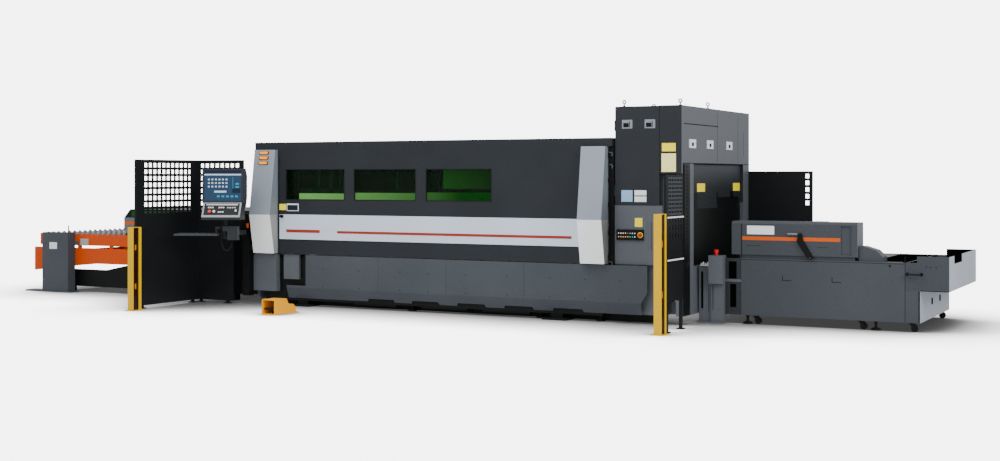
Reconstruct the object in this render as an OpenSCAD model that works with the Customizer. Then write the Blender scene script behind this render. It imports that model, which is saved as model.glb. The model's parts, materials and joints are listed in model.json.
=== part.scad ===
// Sheet and tube laser cutting machine. X runs along the machine, Y away from the
// operator and Z up from the floor. The origin is the middle of the bed's anchor holes.

/* [Cabin] */
// How far the cabin reaches past each end of the bed
cabin_over = 135; // [115:5:160]
// Height of the cabin over the floor
cabin_h = 2096; // [2050:2:2150]
// How far the door's face stands in front of the side beams
door_out = 55; // [50:1:90]
// How far the rear wall's outer face stands behind the side beams
back_out = 145; // [120:5:180]
// Height of the roof cover and its header strip
roof_h = 96; // [80:2:120]
// Thickness of the cabin's insulated walls
wall_t = 40; // [30:1:50]
// Thickness of folded sheet covers
sheet_t = 5; // [3:0.5:8]

/* [Pillar covers] */
// Width of a pillar cover
pillar_w = 330; // [300:5:360]
// Distance of a pillar cover from the cabin's end
pillar_inset = 30; // [20:1:40]
// How much narrower the right pillar cover is, for the conduit beside it
conduit_w = 30; // [20:1:40]
// Height of the fold in a pillar cover
pillar_fold_z = 1167; // [1100:1:1250]
// How far the fold stands in front of the door
pillar_bow = 165; // [100:5:200]
// How far the cover's top edge stands in front of the door
pillar_top_out = 50; // [30:2:70]
// How far the cover's bottom edge stands in front of the door
pillar_foot_out = 75; // [50:5:100]
// Length of a status lamp
lamp_l = 125; // [90:5:140]
// Height of a status lamp
lamp_h = 30; // [22:1:36]
// Spacing of the status lamps
lamp_pitch = 65; // [50:1:80]

/* [Front door] */
// Height of the door's lower edge
door_bottom = 665; // [660:1:700]
// Thickness of the door
door_t = 45; // [35:1:50]
// Gap between the door's ends and the pillar covers
door_gap = 5; // [3:0.5:8]
// Running gap of the door's guide shoes
shoe_gap = 0.3; // [0.2:0.1:0.5]
// Length of a door window
window_l = 895; // [800:5:960]
// Windows' upper edge below the roof cover
window_drop = 256; // [220:1:300]
// Height of the windows' lower edge
window_z = 1363; // [1300:1:1400]
// Spacing of the windows
window_pitch = 1045; // [1020:5:1080]
// Thickness of a window pane
pane_t = 8; // [6:1:12]
// Width of the step that a pane sits in
pane_step = 14; // [10:1:20]
// Height of the silver band's lower edge
band_z = 853; // [830:1:880]
// Height of the silver band
band_h = 317; // [280:1:340]
// Thickness of the silver band
band_t = 6; // [3:1:8]

/* [Bed] */
// Length of the bed's side beams
bed_l = 4760; // [4600:10:4800]
// Height of the bed's top
bed_top = 640; // [620:2:644]
// Height of the beams' lower edge
bed_under = 70; // [60:2:90]
// Width of a side beam
beam_w = 180; // [160:5:190]
// Width of a cross beam
cross_w = 140; // [120:5:160]
// Height of the cross beams' top
cross_top = 330; // [300:5:350]
// Anchor pads from the bed's ends
pad_in = 580; // [500:10:660]
// Length of an anchor pad
pad_l = 300; // [260:5:340]
// Thickness of an anchor pad
pad_t = 25; // [20:1:35]
// Radius of an anchor hole
anchor_r = 13; // [10:0.5:16]
// Anchor hole from the side beam's outer face
anchor_out = 35; // [30:1:45]
// Width of a corner post
post_w = 100; // [80:5:120]

/* [Skirt] */
// Height of the skirt's top
skirt_top = 655; // [640:1:659]
// Height of the skirt's fold
skirt_fold = 234; // [220:1:260]
// Height of the skirt's lower edge
skirt_under = 100; // [90:1:120]
// How far the skirt's lower edge lies behind the door's face
skirt_in = 50; // [40:1:54]
// Left end of the skirt from the left pillar cover
skirt_short = 440; // [400:1:480]
// How far the skirt's foot reaches past its left end
skirt_foot = 298; // [250:1:330]
// How far the skirt reaches along the tower
skirt_over = 413; // [380:1:450]
// Width of the skirt's chamfered right corner
skirt_cut = 77; // [60:1:90]

/* [Gantry] */
// Travel rails from the side beams' inner faces
rail_in = 50; // [40:1:60]
// Travel rails' ends from the bed's ends
rail_short = 160; // [140:5:200]
// Width of a travel rail
rail_w = 40; // [30:1:50]
// Height of a travel rail
rail_h = 50; // [40:1:60]
// Gantry's place at rest from the rails' right ends
gantry_park = 570; // [520:10:620]
// Width of the gantry beam
gantry_w = 260; // [220:5:300]
// Height of the gantry beam's lower face
gantry_under = 980; // [960:5:1010]
// Height of the gantry beam's top
gantry_top = 1250; // [1220:5:1300]
// Width of the head carriage
carriage_w = 240; // [200:5:280]
// Radius of the cutting head's barrel
head_r = 52; // [45:1:60]
// Height of the nozzle's tip at rest
nozzle_z = 890; // [880:1:910]
// Running gap of slides and turning joints
run_gap = 0.3; // [0.2:0.1:0.5]

/* [Tower] */
// Gap between the cabin and the tower
tower_gap = 15; // [10:1:20]
// Width of the tower
tower_w = 800; // [780:5:850]
// Height of the tower
tower_h = 2450; // [2400:5:2500]
// How far the tower's front lies behind the door's face
tower_in = 50; // [20:1:70]
// How far the tower's back stands behind the cabin's
tower_rear = 80; // [50:5:110]
// Height of the upper cabinet
upper_h = 645; // [600:5:690]
// Thickness of the tower's walls
tower_t = 30; // [25:1:40]
// Thickness of the tower's front panels
front_t = 40; // [35:1:44]
// Width of the tower's door
tower_door_w = 533; // [500:1:540]
// Height of the door's lower edge
tower_door_z = 1335; // [1300:1:1360]
// Gap around the tower's door
seam = 4; // [3:0.5:6]
// Width of the lower front cabinet
lower_w = 570; // [550:5:590]
// Depth of the lower front cabinet
lower_d = 326; // [300:2:360]
// How far the right front column reaches below the upper cabinet
column_drop = 115; // [90:5:140]
// Height of a lifting eye
eye_h = 76; // [60:1:90]

/* [Tube shutter] */
// Front guide post from the tower's front
guide_in = 266; // [250:1:290]
// Width of the front guide post
guide_front_w = 126; // [110:1:140]
// Width of the back guide post
guide_back_w = 169; // [150:1:190]
// Thickness of the shutter
shutter_t = 28; // [20:1:30]
// Shutter's inner face from the tower's right side
shutter_in = 66; // [60:1:70]
// Height of the sill under the shutter
sill_z = 640; // [600:5:680]
// Shutter's top below the upper cabinet
shutter_short = 10; // [5:1:40]

/* [Control strip] */
// Length of the control strip
strip_l = 325; // [300:5:350]
// Height of the control strip
strip_h = 120; // [100:2:140]
// Height of the strip's lower edge
strip_z = 939; // [920:1:960]
// Thickness of the control strip
strip_t = 16; // [12:1:24]
// Radius of an emergency stop's cap
estop_r = 22; // [18:0.5:26]
// Radius of an emergency stop's stem
estop_stem_r = 11; // [8:0.5:13]
// Travel of an emergency stop
estop_travel = 6; // [4:0.5:8]

/* [Tube unit] */
// Gap between the tower and the tube unit
unit_gap = 505; // [490:5:530]
// Length of the tube unit's main housing
unit_l = 1805; // [1780:5:1830]
// Front face of the tube unit from the centre line
unit_front = 560; // [545:5:580]
// Gap between the tube unit's back and the rear fence
unit_rear_gap = 110; // [80:5:150]
// Height of the housing's lower edge
unit_under = 100; // [95:1:110]
// Height of the housing's top
unit_top = 740; // [720:2:745]
// Length of the low end of the housing
unit_end_l = 154; // [140:2:170]
// Height of the end bin's floor
bin_z = 440; // [420:5:460]
// Length of the end bin
bin_l = 453; // [430:1:480]
// Height of the end bin's rim
bin_top = 810; // [790:5:830]
// Width of the tube notch in the bin's end
notch_w = 478; // [440:2:500]
// Height of the tube notch's lower edge
notch_z = 723; // [700:1:750]
// How far the cover box reaches past the housing's left end
cover_over = 110; // [90:5:130]
// Length of the cover box
cover_l = 1410; // [1380:5:1440]
// Depth of the cover box
cover_d = 277; // [260:1:290]
// Height of the cover box's lower edge
cover_z = 781; // [770:1:800]
// Height of the cover box's top
cover_top = 1155; // [1130:5:1180]
// Radius of a caster's wheel
caster_r = 38; // [32:1:42]

/* [Chuck] */
// Height of the tube's axis
chuck_z = 970; // [960:1:985]
// Radius of the tube passage
bore_r = 110; // [95:1:112]
// Radius of the chuck's body
chuck_r = 165; // [158:1:175]
// Radius of the spindle
spindle_r = 126; // [122:0.5:132]
// Chuck carriage's place at rest from the housing's left end
carriage_park = 625; // [570:5:660]
// Length of the chuck carriage
carriage_l = 200; // [180:5:220]

/* [Shuttle table] */
// Gap between the pallet at rest and the cabin
pallet_gap = 915; // [890:5:940]
// Length of the pallet
pallet_l = 3200; // [3100:100:3300]
// Width of the pallet
pallet_w = 1780; // [1740:10:1790]
// Height of the pallet's lower face
pallet_z = 670; // [668:1:690]
// Height of the pallet's side beams
pallet_h = 165; // [150:1:180]
// Thickness of the pallet's side beams
pallet_t = 40; // [30:1:50]
// Spacing of the slats
slat_pitch = 100; // [80:5:120]
// Thickness of a slat
slat_t = 6; // [3:0.5:8]
// Height of a slat
slat_h = 88; // [80:1:95]
// Height of a slat's teeth
tooth_h = 33; // [25:1:40]
// Teeth along a slat
tooth_count = 17; // [12:1:20]
// How far the table frame reaches past the pallet
table_over = 114; // [100:2:130]
// Height of the table frame's top
table_top = 633; // [620:1:645]
// Height of the table frame's lower edge along its length
table_under = 415; // [400:5:430]
// Height of the table frame's lower edge at its deep end
table_deep = 293; // [280:1:310]
// Length of the entry hood
hood_l = 2468; // [2430:1:2510]
// Height of the hood's lower edge
hood_under = 898; // [890:1:910]
// Height of the hood's top
hood_top = 1200; // [1180:2:1220]
// Width of the drive housing
drive_w = 500; // [470:5:530]
// Depth of the drive housing
drive_d = 145; // [130:5:160]
// Height of the drive housing
drive_h = 855; // [830:5:880]

/* [Guards] */
// Height of the left fences
fence_top = 1870; // [1830:5:1900]
// Height of the right fence
right_fence_top = 1677; // [1650:1:1700]
// Thickness of a fence panel's frame
fence_t = 30; // [24:1:40]
// Thickness of a fence's perforated sheet
fence_sheet = 6; // [4:0.5:8]
// Size of a square hole in a fence
mesh_hole = 52; // [44:1:60]
// Spacing of the holes in a fence
mesh_pitch = 83; // [76:1:90]
// Height of the left light post
left_post_h = 1030; // [1000:5:1060]
// Height of the right light post
right_post_h = 1265; // [1230:5:1300]
// Width of a light post
light_post_w = 85; // [75:1:95]
// Depth of a light post
light_post_d = 150; // [130:1:170]
// Wall of a light post
light_post_t = 6; // [4:0.5:8]
// Width of the slot in a light post
light_slot = 92; // [80:1:110]

/* [Console] */
// Angle that the console is turned towards the right
console_turn = 25; // [15:1:35]
// Width of the console's monitor
monitor_w = 520; // [480:5:560]
// Height of the console's monitor
monitor_h = 432; // [400:2:460]
// Depth of the console's monitor
monitor_d = 150; // [130:5:180]
// Height of the monitor's lower edge
monitor_z = 1325; // [1310:1:1340]
// Depth of the sloped key desk
desk_d = 250; // [220:5:280]
// Height of the key desk's lower edge
desk_z = 1112; // [1090:1:1130]
// Radius of the console's stem
stem_r = 28; // [24:1:32]
// Length of the console's arm between its pivots
arm_l = 390; // [360:5:420]
// Radius of the arm's pivot pins
arm_pin_r = 16; // [12:1:20]
// Diameter of the console's cable
cable_d = 16; // [12:1:20]

/* [Foot switch] */
// Width of the foot switch
foot_w = 190; // [170:1:210]
// Length of the foot switch's hood
foot_hood_l = 250; // [230:1:270]
// Length of the foot switch's low back
foot_back_l = 179; // [160:1:200]
// Height of the foot switch's hood
foot_h = 185; // [170:1:200]
// Wall of the foot switch's hood
foot_t = 8; // [6:0.5:10]

/* [Hidden] */
$fn = 48;

// Cabin
bay_half = pallet_w / 2 + 35;
beam_out = bay_half + beam_w;
cabin_end = bed_l / 2 + cabin_over;
cabin_front = beam_out + door_out;
cabin_back = beam_out + back_out;
roof_z = cabin_h - roof_h;
pillar_out = cabin_end - pillar_inset;
pillar_in = pillar_out - pillar_w;
pillar_foot_z = door_bottom + 3;
cover_back_y = -beam_out;
door_end = pillar_in - door_gap;
door_y = -cabin_front;
door_back_y = door_y + door_t;
roof_front_y = -beam_out;
window_x = -door_end + 132;
window_count = 3;
window_h = roof_z - window_drop - window_z;
lamp_t = 14;
lamp_top_z = roof_z - 40;
lamp_x = -pillar_out + 160;
// Fraction of the way from the pillar's top edge down to its fold
function pillar_out_at(z) = pillar_top_out
  + (pillar_bow - pillar_top_out) * (roof_z - z) / (roof_z - pillar_fold_z);
post_d = 70;
post_x = pillar_in + 165;
anchor_y = beam_out + anchor_out;
pad_x = bed_l / 2 - pad_in;
pad_y = bay_half + 5;
skirt_flange = skirt_top - sheet_t;
skirt_left = pillar_in - skirt_short;
pan_l = 630;
pan_h = 25;
passage_top = 1160;
passage_half = bay_half - 20;
duct_r = 125;
duct_l = 90;
duct_x = cabin_end - 1315;
duct_z = 1700;

// Gantry
truck_l = 360;
truck_w = 70;
truck_z = bed_top + rail_h + run_gap;
rail_l = bed_l - 2 * rail_short;
rail_y = bay_half + rail_in;
gantry_x = rail_l / 2 - gantry_park;
carriage_t = 110;
carriage_slot = 40;
head_l = 140;
gantry_face = gantry_x - gantry_w / 2;
head_x = gantry_face - carriage_t - head_l / 2 - 2 * run_gap;

// Tower and the skirt that runs along it
tower_x = cabin_end + tower_gap;
skirt_right = tower_x + skirt_over;
notch_pitch = 638;
notch_l = 400;
notch_h = 34;
notch_x = -skirt_left + 1113;
notch_count = floor((skirt_right - notch_x - 700) / notch_pitch) + 1;
tower_end = tower_x + tower_w;
tower_front = cabin_front - tower_in;
tower_back = cabin_back + tower_rear;
upper_z = tower_h - upper_h;
column_z = upper_z - column_drop;
panel_back_y = -tower_front + front_t;
box_front_y = panel_back_y + run_gap;
tower_door_x = tower_x + seam;
tower_door_end = tower_door_x + tower_door_w;
tower_door_top = tower_h - seam;
lower_end = tower_x + lower_w;
lower_back_y = box_front_y + lower_d;
guide_front = tower_front - guide_in;
guide_back = cabin_back - guide_back_w;
guide_front_in = -guide_front + guide_front_w;
shutter_top = upper_z - shutter_short;
guide_back_end = cabin_back;
guide_x = tower_end - 80;
shutter_x = tower_end - shutter_in;
strip_x = tower_x + 27;
estop_x = strip_x + strip_l - 36;
estop_z = strip_z + strip_h / 2;
strip_y = -tower_front - strip_t;
filler_h = 291;
latch_w = 208;
latch_h = 98;
latch_t = 10;
latch_z = upper_z + 173;
oscillator_y = [-tower_front + 410, tower_back - 430];
hinge_r = 6;
hinge_l = 60;
hinge_y = -tower_front - hinge_r;
hinge_zs = [tower_door_z + 160, tower_h - 220];

// Tube unit
unit_x = tower_end + unit_gap;
unit_end = unit_x + unit_l;
unit_back = tower_back - fence_t - unit_rear_gap;
cover_x = unit_x - cover_over;
carriage_x = unit_x + carriage_park;
unit_low_end = unit_end + unit_end_l;
bin_end = unit_end + bin_l;
bin_step = 123;
rail2_y = 180;
rail2_w = 40;
rail2_h = 40;
rail2_l = 1380;
carriage_z = unit_top + rail2_h + run_gap;
chuck_clear = 3;
carriage_plate = chuck_z - chuck_r - carriage_z - chuck_clear;
cover_end = cover_x + cover_l;
cover_back = -unit_front + cover_d;
arm_pivot_x = unit_x + 790;
arm_pivot_z = unit_top + 22;
arm_pin = 8;
arm_t = 26;
arm_y = -unit_front - 2 - arm_t;
pedestal_x = tower_end + 170;
pedestal_w = 150;
service_w = 150;
service_top = 640;
pedestal_y = -unit_front - 60;
pedestal_d = 90;
pedestal_h = 766;
box_w = 170;
box_d = 60;
box_z = 449;
box_x = pedestal_x - 10;
stop_x = box_x + box_w / 2;
stop_y = pedestal_y - box_d / 2;

// Shuttle table
pallet_end = -cabin_end - pallet_gap;
pallet_x = pallet_end - pallet_l;
table_x = pallet_x - table_over;
hood_x = -cabin_end - hood_l;
pallet_top = pallet_z + pallet_h;
pallet_in = pallet_w / 2 - pallet_t;
slat_z = pallet_top - 65;
slat_count = floor((pallet_l - 200) / slat_pitch) + 1;
slot_clear = 3;
bar_h = slat_z - pallet_z - 20;
table_end = -cabin_end - 45;
hood_half = bay_half + 5;
hood_t = 6;
hood_slope = 113;
hood_fold = hood_top - 118;
drive_x = pallet_x + 188;
drive_y = -pallet_w / 2 - drive_d;
plate_t = 20;
base_x = pallet_x + 430;
base_end = -cabin_end - 485;
base_shoulder = hood_x + 34;
base_top = 326;
base_foot_x = base_shoulder + 249;
leg_x = pallet_end - 270;

// Guards
side_fence_x = -cabin_end - 880;
fence_y = door_y - 105;
side_fence_l = 1182;
side_fence_front = fence_y - side_fence_l;
fence_edge = 100;
fence_rim = 36;
mast_w = 110;
mast_x = -pillar_out - 40 - mast_w;
mast_y = door_y - 110;
mast_d = 100;
right_fence_x = tower_end + 71;
right_fence_l = 515;
right_fence_y = -tower_front - 732;
rear_fence_l = 814;
rear_fence_top = 1722;
left_post_x = side_fence_x + 70;
left_post_y = side_fence_front - 193;
right_post_x = tower_end + 45;
right_post_y = right_fence_y - 223;

// Console
pivot_x = mast_x + mast_w / 2;
pivot_y = mast_y - 32;
arm_z = 905;
arm_h = 60;
arm_end_y = pivot_y - arm_l;
screen_t = 6;
tray_t = 24;
tray_l = 560;
tray_d = 290;
tray_z = arm_z + 6;
// Points of the cable's loop, from the key desk down and up into the bracket below it
cable_route = [[-20, -66, desk_z], [-20, -66, 1080], [-20, -67, 1045], [-21, -71, 1005], [-23, -78, 965],
  [-24, -87, 925], [-23, -96, 885], [-19, -103, 845], [-12, -109, 805], [0, -113, 770], [17, -116, 741],
  [39, -115, 725], [63, -109, 725], [84, -100, 744], [98, -90, 771], [107, -80, 799], [110, -75, 826],
  [110, -75, arm_z - 50]];

// Foot switch
foot_x = -pillar_in + 600;
foot_y = door_y - 1108;
foot_end_y = foot_y + foot_hood_l + foot_back_l;
foot_back_h = 110;
foot_base_t = 14;
pedal_pin_r = 6;
pedal_pin_y = foot_y + foot_hood_l - 30;
pedal_pin_z = 52;

// A box between two corners, given as ranges
module block(x, y, z) {
  translate([x[0], y[0], z[0]])
    cube([x[1] - x[0], y[1] - y[0], z[1] - z[0]]);
}

// An outline in Y and Z, drawn out along X
module along_x(x) {
  translate([x[0], 0, 0])
    rotate([90, 0, 90])
      linear_extrude(x[1] - x[0])
        children();
}

// An outline in X and Z, drawn out along Y
module along_y(y) {
  translate([0, y[1], 0])
    rotate([90, 0, 0])
      linear_extrude(y[1] - y[0])
        children();
}

// The same shape on both sides of the centre line
module both_sides() {
  children();
  mirror([0, 1, 0])
    children();
}

// A rectangle with round corners, centred
module soft_rect(w, h, r) {
  square([w - 2 * r, h], center = true);
  square([w, h - 2 * r], center = true);
  for (sx = [-1, 1], sy = [-1, 1])
    translate([sx * (w / 2 - r), sy * (h / 2 - r)])
      circle(r);
}

// A round bar along X
module rod_x(x, y, z, r) {
  translate([x[0], y, z])
    rotate([0, 90, 0])
      cylinder(r = r, h = x[1] - x[0]);
}

// A round bar along Y
module rod_y(x, y, z, r) {
  translate([x, y[0], z])
    rotate([-90, 0, 0])
      cylinder(r = r, h = y[1] - y[0]);
}

// A round bar along Z
module rod_z(x, y, z, r) {
  translate([x, y, z[0]])
    cylinder(r = r, h = z[1] - z[0]);
}

module bed_frame() color("#26282b") {
  cross_xs = [for (k = [-3 : 2 : 3]) k * (bed_l - cross_w) / 6];
  both_sides()
    difference() {
      union() {
        block([-bed_l / 2, bed_l / 2], [bay_half, beam_out], [bed_under, bed_top]);
        block([-bed_l / 2, bed_l / 2], [bay_half - 60, bay_half], [bed_top - 12, pallet_z - run_gap]);
        block([-bed_l / 2, bed_l / 2], [bay_half - 8, bay_half + 1], [bed_top - 60, pallet_z - run_gap]);
        for (x = [bed_l / 2 - 3095, bed_l / 2 - 2095, bed_l / 2 - 1255])
          block([x - pan_l / 2, x + pan_l / 2], [bay_half + 30, beam_out - 20], [bed_under - pan_h, bed_under + 1]);
        for (sx = [-1, 1]) {
          block([sx * pad_x - pad_l / 2, sx * pad_x + pad_l / 2], [pad_y, anchor_y + 55], [0, pad_t]);
          block([sx * pad_x - 75, sx * pad_x + 75], [bay_half + 5, beam_out - 5], [pad_t, bed_under]);
          block([sx * post_x - post_w / 2, sx * post_x + post_w / 2],
            [beam_out - post_d, beam_out], [bed_top, roof_z]);
        }
      }
      for (sx = [-1, 1])
        rod_z(sx * pad_x, anchor_y, [-1, pad_t + 1], anchor_r);
    }
  for (x = cross_xs)
    block([x - cross_w / 2, x + cross_w / 2], [-bay_half, bay_half], [bed_under, cross_top]);
}

// A levelling screw with its round pad, up to the height z
module levelling_foot(x, y, z) {
  rod_z(x, y, [0, 16], 55);
  rod_z(x, y, [16, 28], 34);
  rod_z(x, y, [28, z], 14);
  translate([x, y, z - 18])
    cylinder(r = 24, h = 18, $fn = 6);
}

module levelling_feet() color("#303235") {
  bed_foot_y = beam_out - beam_w / 2;
  for (x = [-208, bed_l / 2 - 825, bed_l / 2 - 60], y = [-bed_foot_y, bed_foot_y])
    levelling_foot(x, y, bed_under);
  for (x = [tower_x + 100, lower_end - 80])
    levelling_foot(x, lower_back_y - lower_d / 2, unit_under);
  for (x = [tower_x + 100, tower_end - 80])
    levelling_foot(x, cabin_back + 40, unit_under);
  for (x = [unit_x + 58, unit_end - 320], y = [-unit_front + 60, unit_back - 60])
    levelling_foot(x, y, unit_under);
}

// Outline of the skirt's sheet, seen from its end
module skirt_outline() {
  polygon([[door_y, skirt_top], [cover_back_y, skirt_top], [cover_back_y, skirt_flange],
    [door_y + sheet_t, skirt_flange], [door_y + sheet_t, skirt_fold + 1],
    [door_y + skirt_in + sheet_t, skirt_under], [door_y + skirt_in, skirt_under],
    [door_y, skirt_fold]]);
}

module front_skirt() color("#5d6065") {
  reach = [-skirt_left - skirt_foot - 1, skirt_right + 1];
  difference() {
    along_x([-skirt_left - skirt_foot, skirt_right])
      skirt_outline();
    block([reach[0], -skirt_left], [door_y - 1, cover_back_y + 1], [skirt_fold + 30, skirt_top + 1]);
    along_y([door_y - 1, cover_back_y + 1])
      polygon([[skirt_right - skirt_cut, skirt_fold - 7], [reach[1], skirt_fold + 121],
        [reach[1], skirt_under - 1], [skirt_right - skirt_cut, skirt_under - 1]]);
    for (k = [0 : notch_count - 1])
      translate([notch_x + k * notch_pitch, 0, skirt_under])
        along_y([door_y - 1, cover_back_y + 1])
          polygon([[-notch_l / 2, -1], [-notch_l / 2 + 20, notch_h], [notch_l / 2 - 20, notch_h], [notch_l / 2, -1]]);
  }
}

// Outline of a pillar cover, seen from its end, with its wall drawn in by t
module pillar_outline(t) {
  polygon([[cover_back_y, pillar_foot_z + t], [cover_back_y, roof_z - t],
    [door_y - pillar_top_out + t, roof_z - t], [door_y - pillar_bow + t, pillar_fold_z],
    [door_y - pillar_foot_out + t, pillar_foot_z + t]]);
}

// A hollow pillar cover, open at its back, between two ends
module pillar_cover(x) {
  difference() {
    along_x(x)
      pillar_outline(0);
    translate([0, 1, 0])
      along_x([x[0] + sheet_t, x[1] - sheet_t])
        pillar_outline(sheet_t);
  }
}

module left_pillar_cover() color("#c9cbce")
  pillar_cover([-pillar_out, -pillar_in]);

module right_pillar_cover() color("#c9cbce")
  pillar_cover([pillar_in, pillar_out - conduit_w]);

module roof_cover() color("#36393d") {
  difference() {
    block([-cabin_end, cabin_end], [roof_front_y, cabin_back], [roof_z, cabin_h]);
    block([-cabin_end + wall_t, cabin_end - wall_t], [roof_front_y + wall_t, cabin_back - wall_t],
      [roof_z - 1, cabin_h - sheet_t]);
  }
  for (k = [-2 : 2])
    block([k * 800 - 30, k * 800 + 30], [roof_front_y + 500, cabin_back - 60], [cabin_h, cabin_h + 12]);
}

module left_wall() color("#4b4e52")
  difference() {
    block([-cabin_end, -cabin_end + wall_t], [cover_back_y, cabin_back], [bed_under, roof_z]);
    block([-cabin_end - 1, -cabin_end + wall_t + 1], [-passage_half, passage_half],
      [bed_under + 330, passage_top]);
  }

module rear_wall() color("#4b4e52") {
  difference() {
    union() {
      block([-cabin_end + wall_t, cabin_end], [cabin_back - wall_t, cabin_back], [bed_under, roof_z]);
      rod_y(duct_x, [cabin_back, cabin_back + duct_l], duct_z, duct_r);
      rod_y(duct_x, [cabin_back, cabin_back + 8], duct_z, duct_r + 40);
    }
    rod_y(duct_x, [cabin_back - wall_t - 1, cabin_back + duct_l + 1], duct_z, duct_r - 4);
    for (x = [-1500 : 1000 : 1500])
      block([x - 3, x + 3], [cabin_back - 4, cabin_back + 1], [bed_under + 40, duct_z - 400]);
  }
}

module left_lower_covers() color("#6a6d72") {
  block([-pillar_out - 35, -pillar_in], [door_y - 25, cover_back_y], [bed_under + 110, skirt_top]);
  difference() {
    block([-skirt_left - 353, -skirt_left - 115], [door_y + 15, cover_back_y], [skirt_fold + 107, skirt_top]);
    block([-skirt_left - 335, -skirt_left - 133], [door_y + 14, door_y + 18], [skirt_fold + 125, skirt_top - 18]);
  }
}

module status_lamps() color("#e8a317")
  for (k = [0 : 2]) {
    z = lamp_top_z - k * lamp_pitch;
    y = door_y - pillar_out_at(z);
    slope = atan((pillar_bow - pillar_top_out) / (roof_z - pillar_fold_z));
    translate([lamp_x, y, z])
      rotate([90 - slope, 0, 0])
        linear_extrude(lamp_t)
          soft_rect(lamp_l, lamp_h, lamp_h / 2 - 1);
  }

function window_left(k) = window_x + k * window_pitch;

module front_door() color("#3a3d42") {
  difference() {
    union() {
      block([-door_end, door_end], [door_y, door_back_y], [door_bottom, roof_z + 1]);
      block([-cabin_end, cabin_end], [door_y, door_back_y], [roof_z + run_gap, cabin_h]);
      for (s = [-1, 1])
        for (z = [door_bottom + 120, roof_z - 220])
          translate([s * (door_end + (door_gap - shoe_gap) / 2), (door_y + door_back_y) / 2, z])
            cube([door_gap - shoe_gap, door_t - 12, 90], center = true);
    }
    for (k = [0 : window_count - 1]) {
      block([window_left(k), window_left(k) + window_l], [door_y - 1, door_back_y + 1],
        [window_z, window_z + window_h]);
      block([window_left(k) - pane_step, window_left(k) + window_l + pane_step],
        [door_y + 10, door_back_y + 1], [window_z - pane_step, window_z + window_h + pane_step]);
    }
    block([-door_end + 14, -door_end + 26], [door_y - 1, door_y + 8], [door_bottom + 4, roof_z - 92]);
  }
}

module door_windows() color("#1d6b24")
  for (k = [0 : window_count - 1])
    block([window_left(k) - pane_step, window_left(k) + window_l + pane_step],
      [door_y + 10, door_y + 10 + pane_t], [window_z - pane_step, window_z + window_h + pane_step]);

module door_band() color("#d8dadd") {
  knob_x = -door_end + 81;
  knob_y = door_y - band_t;
  knob_z = band_z + band_h - 24;
  rod_y(knob_x, [knob_y - 26, knob_y + 1], knob_z, 12);
  rod_y(knob_x, [knob_y - 36, knob_y - 25], knob_z, 20);
  difference() {
    block([-door_end + 30, door_end - 4], [door_y - band_t, door_y], [band_z, band_z + band_h]);
    block([-door_end + 120, door_end - 120], [door_y - band_t - 1, door_y - band_t + 1.5],
      [band_z + 84, band_z + 120]);
  }
}

module x_rails() color("#9a9da1")
  both_sides() {
    block([-rail_l / 2, rail_l / 2], [rail_y - rail_w / 2, rail_y + rail_w / 2],
      [bed_top, bed_top + rail_h]);
    block([-rail_l / 2, rail_l / 2], [rail_y + rail_w / 2 + 8, rail_y + rail_w / 2 + 30],
      [bed_top, bed_top + 30]);
  }

module gantry_beam() color("#7d8186") {
  both_sides()
    block([gantry_x - truck_l / 2, gantry_x + truck_l / 2], [rail_y - truck_w / 2, rail_y + truck_w / 2],
      [truck_z, gantry_under + 60]);
  difference() {
    block([gantry_face, gantry_x + gantry_w / 2], [-rail_y - truck_w / 2, rail_y + truck_w / 2],
      [gantry_under, gantry_top]);
    for (z = [gantry_under + 60, gantry_top - 60])
      block([gantry_face - 1, gantry_face + 14], [-rail_y, rail_y], [z - 18, z + 18]);
  }
}

module head_carriage() color("#a9adb2") {
  x = [gantry_face - run_gap - carriage_t, gantry_face - run_gap];
  difference() {
    block(x, [-carriage_w / 2, carriage_w / 2], [gantry_under - 15, gantry_top + 90]);
    block([x[0] - 1, x[0] + carriage_slot], [-carriage_w / 2 + 40, carriage_w / 2 - 40],
      [gantry_under + 40, gantry_top + 91]);
  }
  block([x[1] - 30, gantry_x], [-carriage_w / 2 + 20, carriage_w / 2 - 20],
    [gantry_top + run_gap, gantry_top + 90]);
}

module cutting_head() color("#c4c7ca") {
  block([head_x - head_l / 2 + 20, head_x + head_l / 2 + carriage_slot],
    [-carriage_w / 2 + 50, carriage_w / 2 - 50], [gantry_under + 60, gantry_top + 40]);
  rod_z(head_x, 0, [nozzle_z + 90, gantry_under + 62], head_r);
  translate([head_x, 0, nozzle_z + 26])
    cylinder(r1 = 16, r2 = head_r - 8, h = 64.5);
  translate([head_x, 0, nozzle_z])
    cylinder(r1 = 4, r2 = 15, h = 26.5);
}

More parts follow.
